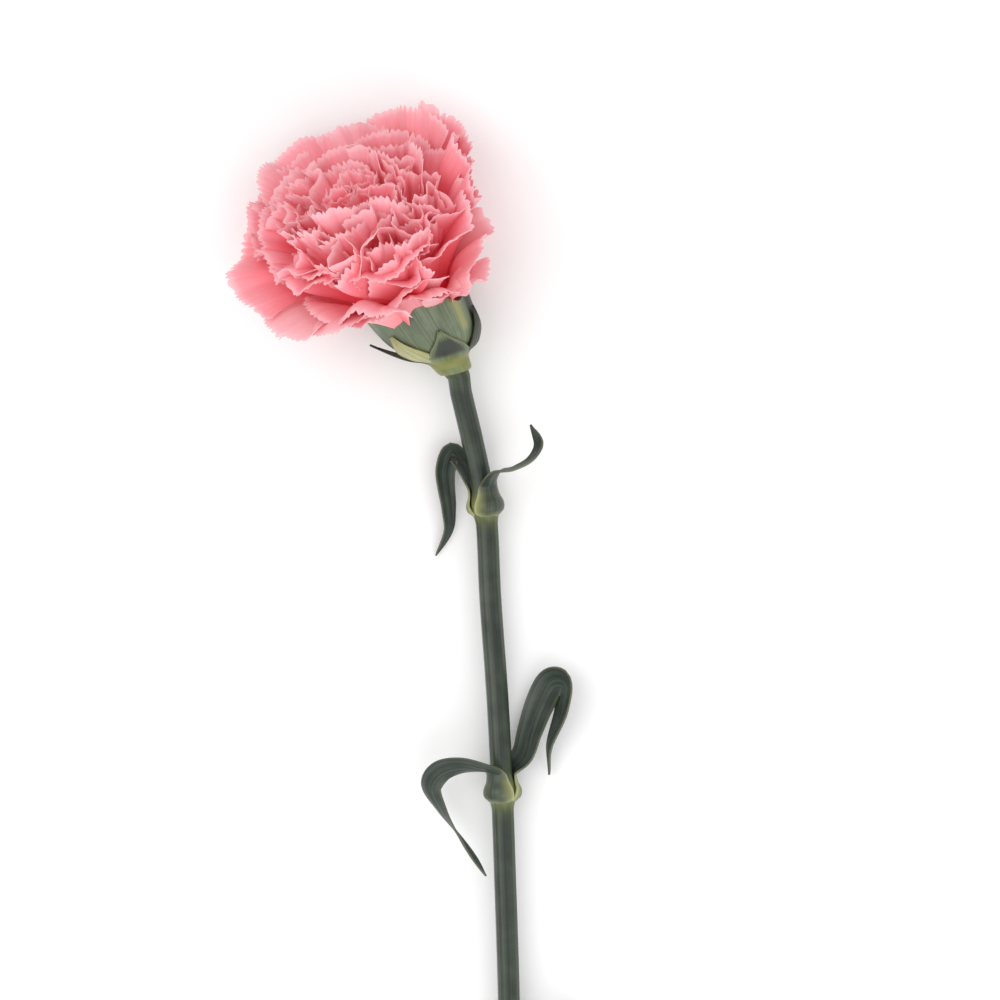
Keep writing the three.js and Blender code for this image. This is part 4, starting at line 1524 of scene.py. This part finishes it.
@dataclass
class Bloom:
    """The rings of petals, from the guards to the crumpled heart, and the claws that join them."""

    thickness: float = 0.34
    thin_rim: float = 0.3
    rim_spans: tuple[tuple[float, float], ...] = ((1.0, 0.88), (1.0, 0.93))
    teeth_span: tuple[float, float] = (0.86, 1.0)
    rows: int = 22
    row_bunching: tuple[float, float, float] = (0.45, 0.55, 1.7)
    column_width: float = 0.27
    claw_reach: float = 0.75
    floor: float = 0.31
    floor_softness: float = 0.7
    pale_draw: tuple[float, float] = (0.6, 0.4)
    front_draw: tuple[float, float] = (0.75, 0.25)
    rings: tuple[Ring, ...] = (
        Ring(8.4, 32, 36, 0.15, 2.2, 1.5, 1.1, 0.45, True, (
            (341, 40.5, 33, 90, 1.0, -26), (2, 38, 21, 104, 1.0, 0), (26, 33, 19, 112, 0.95, 8),
            (50, 30, 22, 110, 1.0, -8), (78, 27, 20, 106, 1.0, 6), (110, 23.5, 14, 110, 1.05, -14),
            (138, 25.5, 10, 104, 1.2, -18), (157, 29, 16.5, 94, 1.1, 10),
            (184, 31, 26, 78, 0.8, -20), (206, 35, 35, 66, 1.0, -6), (218, 39, 38.5, 60, 1.0, 8),
            (234, 38.5, 42.5, 50, 1.0, -4), (251, 36, 41, 54, 1.0, 10),
            (267, 37.5, 42.5, 52, 1.0, -8), (283, 37.5, 46, 48, 1.0, 8),
            (297, 36.5, 43, 52, 1.0, 0), (310, 35, 39, 60, 1.0, -10), (325, 32.5, 36, 70, 1.0, 6),
            (238, 31, 20, 100, 1.1, 0), (268, 30.5, 20, 100, 1.1, 6), (300, 32, 20, 100, 1.1, -6),
        )),
        Ring(7.0, 32, 33, 0.3, 2.6, 1.35, 1.0, 0.4, False, (
            (355, 29.5, 34, 94, 1.0, 14), (28, 28, 33, 92, 1.0, -8), (58, 26.5, 35, 94, 1.0, 12),
            (84, 28, 30, 96, 1.0, -10), (111, 26, 27.5, 94, 0.95, 10), (141, 29.5, 28, 78, 1.1, -8),
            (167, 29, 30, 66, 1.0, -14), (191, 31, 34.5, 58, 1.0, 10), (212, 24, 41, 40, 1.0, -8),
            (240, 28, 43, 38, 1.0, 14), (272, 20, 46, 34, 1.0, -10), (299, 25.5, 45, 40, 1.0, 12),
            (326, 28.5, 43, 48, 1.0, -14), (134, 21.5, 32, 22, 0.95, -16),
            (44, 22, 39, 10, 1.0, 12), (76, 21.5, 36.5, 2, 1.05, -8), (106, 21, 34, 6, 1.0, 10),
        )),
        Ring(5.4, 36, 25, 0.5, 2.2, 1.3, 0.9, 0.35, False, (
            (48, 11.5, 48, -8, 1.0, 8), (85, 11, 45, -6, 1.0, -16), (115, 14, 40, 4, 1.0, -30),
            (151, 14, 40, 12, 1.0, 16), (12, 14.5, 47, 4, 1.0, -14), (318, 15, 47, 22, 1.0, 22),
            (290, 13, 46.5, 24, 1.0, -18), (220, 15, 45, 28, 1.0, 16), (250, 16, 46, 28, 1.0, -20),
            (182, 15, 42, 22, 1.0, -10), (64, 16, 43.5, 0, 1.1, 12), (26, 18, 43.5, 6, 1.0, -12),
            (96, 16.5, 40, 2, 1.1, 28), (132, 17.5, 36, 14, 1.0, -12),
        )),
        Ring(6.0, 30, 20, 0.4, 3.0, 1.6, 1.2, 0.5, False, (
            (36, 15, 46.5, 4, 1.0, 40), (58, 19, 41.5, 14, 1.0, -45), (80, 14, 44.5, 2, 1.0, 50),
            (100, 20, 37.5, 10, 1.0, -40), (122, 16, 39.5, 8, 1.0, 45), (148, 19, 37, 24, 1.0, -50),
            (10, 19, 45, 18, 1.0, -40), (340, 20, 47, 30, 1.0, 40), (315, 22, 46, 36, 1.0, -40),
            (285, 18, 47, 30, 1.0, 45), (255, 21, 46, 36, 1.0, -35), (228, 20, 44, 34, 1.0, 40),
            (200, 19, 41, 30, 1.0, -45), (172, 21, 37, 36, 1.0, 40),
        )),
        Ring(2.6, 20, 32, 0.6, 2.9, 1.4, 1.3, 0.3, False, heart_petals(16)),
    )
    core: Table = (
        (0, -5), (7, -5), (9, 0), (10.5, 8), (11, 16), (10, 24), (7, 31), (0, 34),
    )
    core_around: int = 32
    finish: PetalFinish = PetalFinish()

    def tint(self, petal: Petal) -> float:
        """Gives how far a petal takes the guards' pale colour; the front guards take most.

        Args:
            petal: The petal.

        Returns:
            0 to 1.
        """
        luck = draw(petal.number, 40)
        if petal.ring.guards and petal.side < 180:
            return self.front_draw[0] + self.front_draw[1] * luck
        return petal.ring.pale * (self.pale_draw[0] + self.pale_draw[1] * luck)

    def model(self, petal: Petal) -> bpy.types.Object:
        """Models one petal: a sheet in its folds, with a toothed edge, given a thickness.

        Args:
            petal: The petal's shape.

        Returns:
            The petal.
        """
        climb = np.linspace(0, 1, self.rows)
        even, bunched, power = self.row_bunching
        whole = 1 + self.claw_reach
        reach = -self.claw_reach + whole * (climb * even + bunched * (1 - (1 - climb) ** power))
        half_width = petal.fan * 2 * petal.spread / self.column_width / 2
        across = np.linspace(-1, 1, 1 + 2 * round(half_width))
        reach_grid, across_grid = np.meshgrid(reach, across, indexing="ij")
        edge = petal.toothed_edge(across)[None, :] * smooth(*self.teeth_span, reach_grid)
        points = place(petal.points(reach_grid, across_grid, edge), PETALS)
        above = (points[..., 2] - self.floor) / self.floor_softness
        near = np.minimum(above, 20)
        eased = self.floor + self.floor_softness * np.log1p(np.exp(near))
        points[..., 2] = np.where(above < 20, eased, points[..., 2])
        piece = grid_sheet(f"petal_{petal.number + 1:02d}", points)
        uv = piece.data.uv_layers.active.data
        shares = np.empty(len(uv) * 2)
        uv.foreach_get("uv", shares)
        shares = shares.reshape(-1, 2)
        shares[:, 1] = np.interp(shares[:, 1], climb, (reach + self.claw_reach) / whole)
        uv.foreach_set("uv", shares.ravel())
        add_value(piece, "tint", np.full(len(piece.data.vertices), self.tint(petal)))
        edge_span, side_span = self.rim_spans
        side_body = smooth(*side_span, np.abs(across_grid))
        body = np.minimum(smooth(*edge_span, reach_grid), side_body)
        give_thickness(piece, self.thickness, self.thin_rim, body)
        shade(piece, Shading.CRISP_RIM)
        return piece

    def model_claws(self) -> bpy.types.Object:
        """Models the petals' claws, which are joined in the cup, as one closed bud.

        Returns:
            The claws.
        """
        points = revolve(np.array(self.core), np.linspace(0, 2 * math.pi, self.core_around + 1))
        piece = grid_sheet("petal_claws", place(points, PETALS), closed=True)
        add_value(piece, "tint", np.zeros(len(piece.data.vertices)))
        shade(piece, Shading.SMOOTH)
        return piece

    def build(self) -> None:
        """Models and dresses every petal, and the claws."""
        finish = self.finish.make()
        spots = [(ring, spot) for ring in self.rings for spot in ring.petals]
        for number, (ring, spot) in enumerate(spots):
            hand_over(self.model(Petal(number, ring, *spot)), ["petals"], finish)
        hand_over(self.model_claws(), ["petals"], finish)


# ------------------------------------------------------------------------------ studio


@dataclass(frozen=True)
class Lamp:
    """One square soft light: its name, place and size in metres, and its power."""

    name: str
    place_m: Triple
    size_m: float
    power: float


@dataclass(frozen=True)
class Studio:
    """A pale floor, soft light and the camera above the flower."""

    centre: tuple[float, float] = (-1.9, 215.5)
    frame_width: float = 265.0
    height: float = 1200.0
    sharp_plane: float = 10.0
    sensor: float = 36.0
    far_m: float = 10.0
    floor_m: float = 6.0
    floor_colour: Colour = (0.95, 0.95, 0.95, 1.0)
    floor_roughness: float = 0.9
    floor_shine: float = 0.1
    daylight: float = 0.9
    aim_m: Triple = (-0.02, 0.2, 0.02)
    lamps: tuple[Lamp, ...] = (
        Lamp("key", (-0.6, 0.3, 1.15), 0.9, 4.0),
        Lamp("fill", (0.4, -0.6, 0.9), 1.2, 4.6),
    )

    def camera(self) -> None:
        """Sets the camera straight above the flower."""
        data = bpy.data.cameras.new("camera")
        data.sensor_width = self.sensor
        data.lens = self.sensor * self.height / self.frame_width
        data.clip_end = self.far_m
        camera = bpy.data.objects.new("camera", data)
        bpy.context.scene.collection.objects.link(camera)
        camera.location = Vector((*self.centre, self.sharp_plane + self.height)) * MM
        bpy.context.scene.camera = camera

    def floor(self) -> None:
        """Lays the pale surface that the flower rests on."""
        bpy.ops.object.select_all(action="DESELECT")
        bpy.ops.mesh.primitive_plane_add(size=self.floor_m)
        floor = bpy.context.active_object
        floor.name = "surface"
        kit = Nodes("pale surface")
        kit.show(
            self.floor_colour, Roughness=self.floor_roughness, Specular_IOR_Level=self.floor_shine
        )
        floor.data.materials.append(kit.material)

    def hang(self, lamp: Lamp) -> None:
        """Hangs a light so that it faces the bloom.

        Args:
            lamp: The light.
        """
        data = bpy.data.lights.new(lamp.name, "AREA")
        data.size = lamp.size_m
        data.energy = lamp.power
        light = bpy.data.objects.new(lamp.name, data)
        bpy.context.scene.collection.objects.link(light)
        light.location = lamp.place_m
        aim = Vector(self.aim_m) - light.location
        light.rotation_euler = aim.to_track_quat("-Z", "Y").to_euler()

    def light(self) -> None:
        """Lights the flower softly from all round, and a little more from its front."""
        world = bpy.data.worlds.new("studio")
        bpy.context.scene.world = world
        world.use_nodes = True
        background = world.node_tree.nodes["Background"]
        background.inputs["Color"].default_value = (1, 1, 1, 1)
        background.inputs["Strength"].default_value = self.daylight
        for lamp in self.lamps:
            self.hang(lamp)
        bpy.context.scene.view_settings.view_transform = "Standard"

    def build(self) -> None:
        """Sets up everything that isn't the flower."""
        self.camera()
        self.floor()
        self.light()


def dress_pistil() -> None:
    """Gives the pistil, which stays as the CAD has it, its finish."""
    pistil = bpy.data.objects["pistil"]
    finish = PistilFinish().make()
    for slot in pistil.material_slots:
        slot.material = finish
    log.info("pistil: CAD piece kept, new finish")


def main() -> None:
    """Builds the flower and its studio."""
    logging.basicConfig(level=logging.INFO, format="%(name)s: %(message)s")
    stem = Stem()
    for part in (stem, Foliage(stem), Calyx(), Epicalyx(), Bloom()):
        part.build()
    dress_pistil()
    Studio().build()


if __name__ == "__main__":
    main()
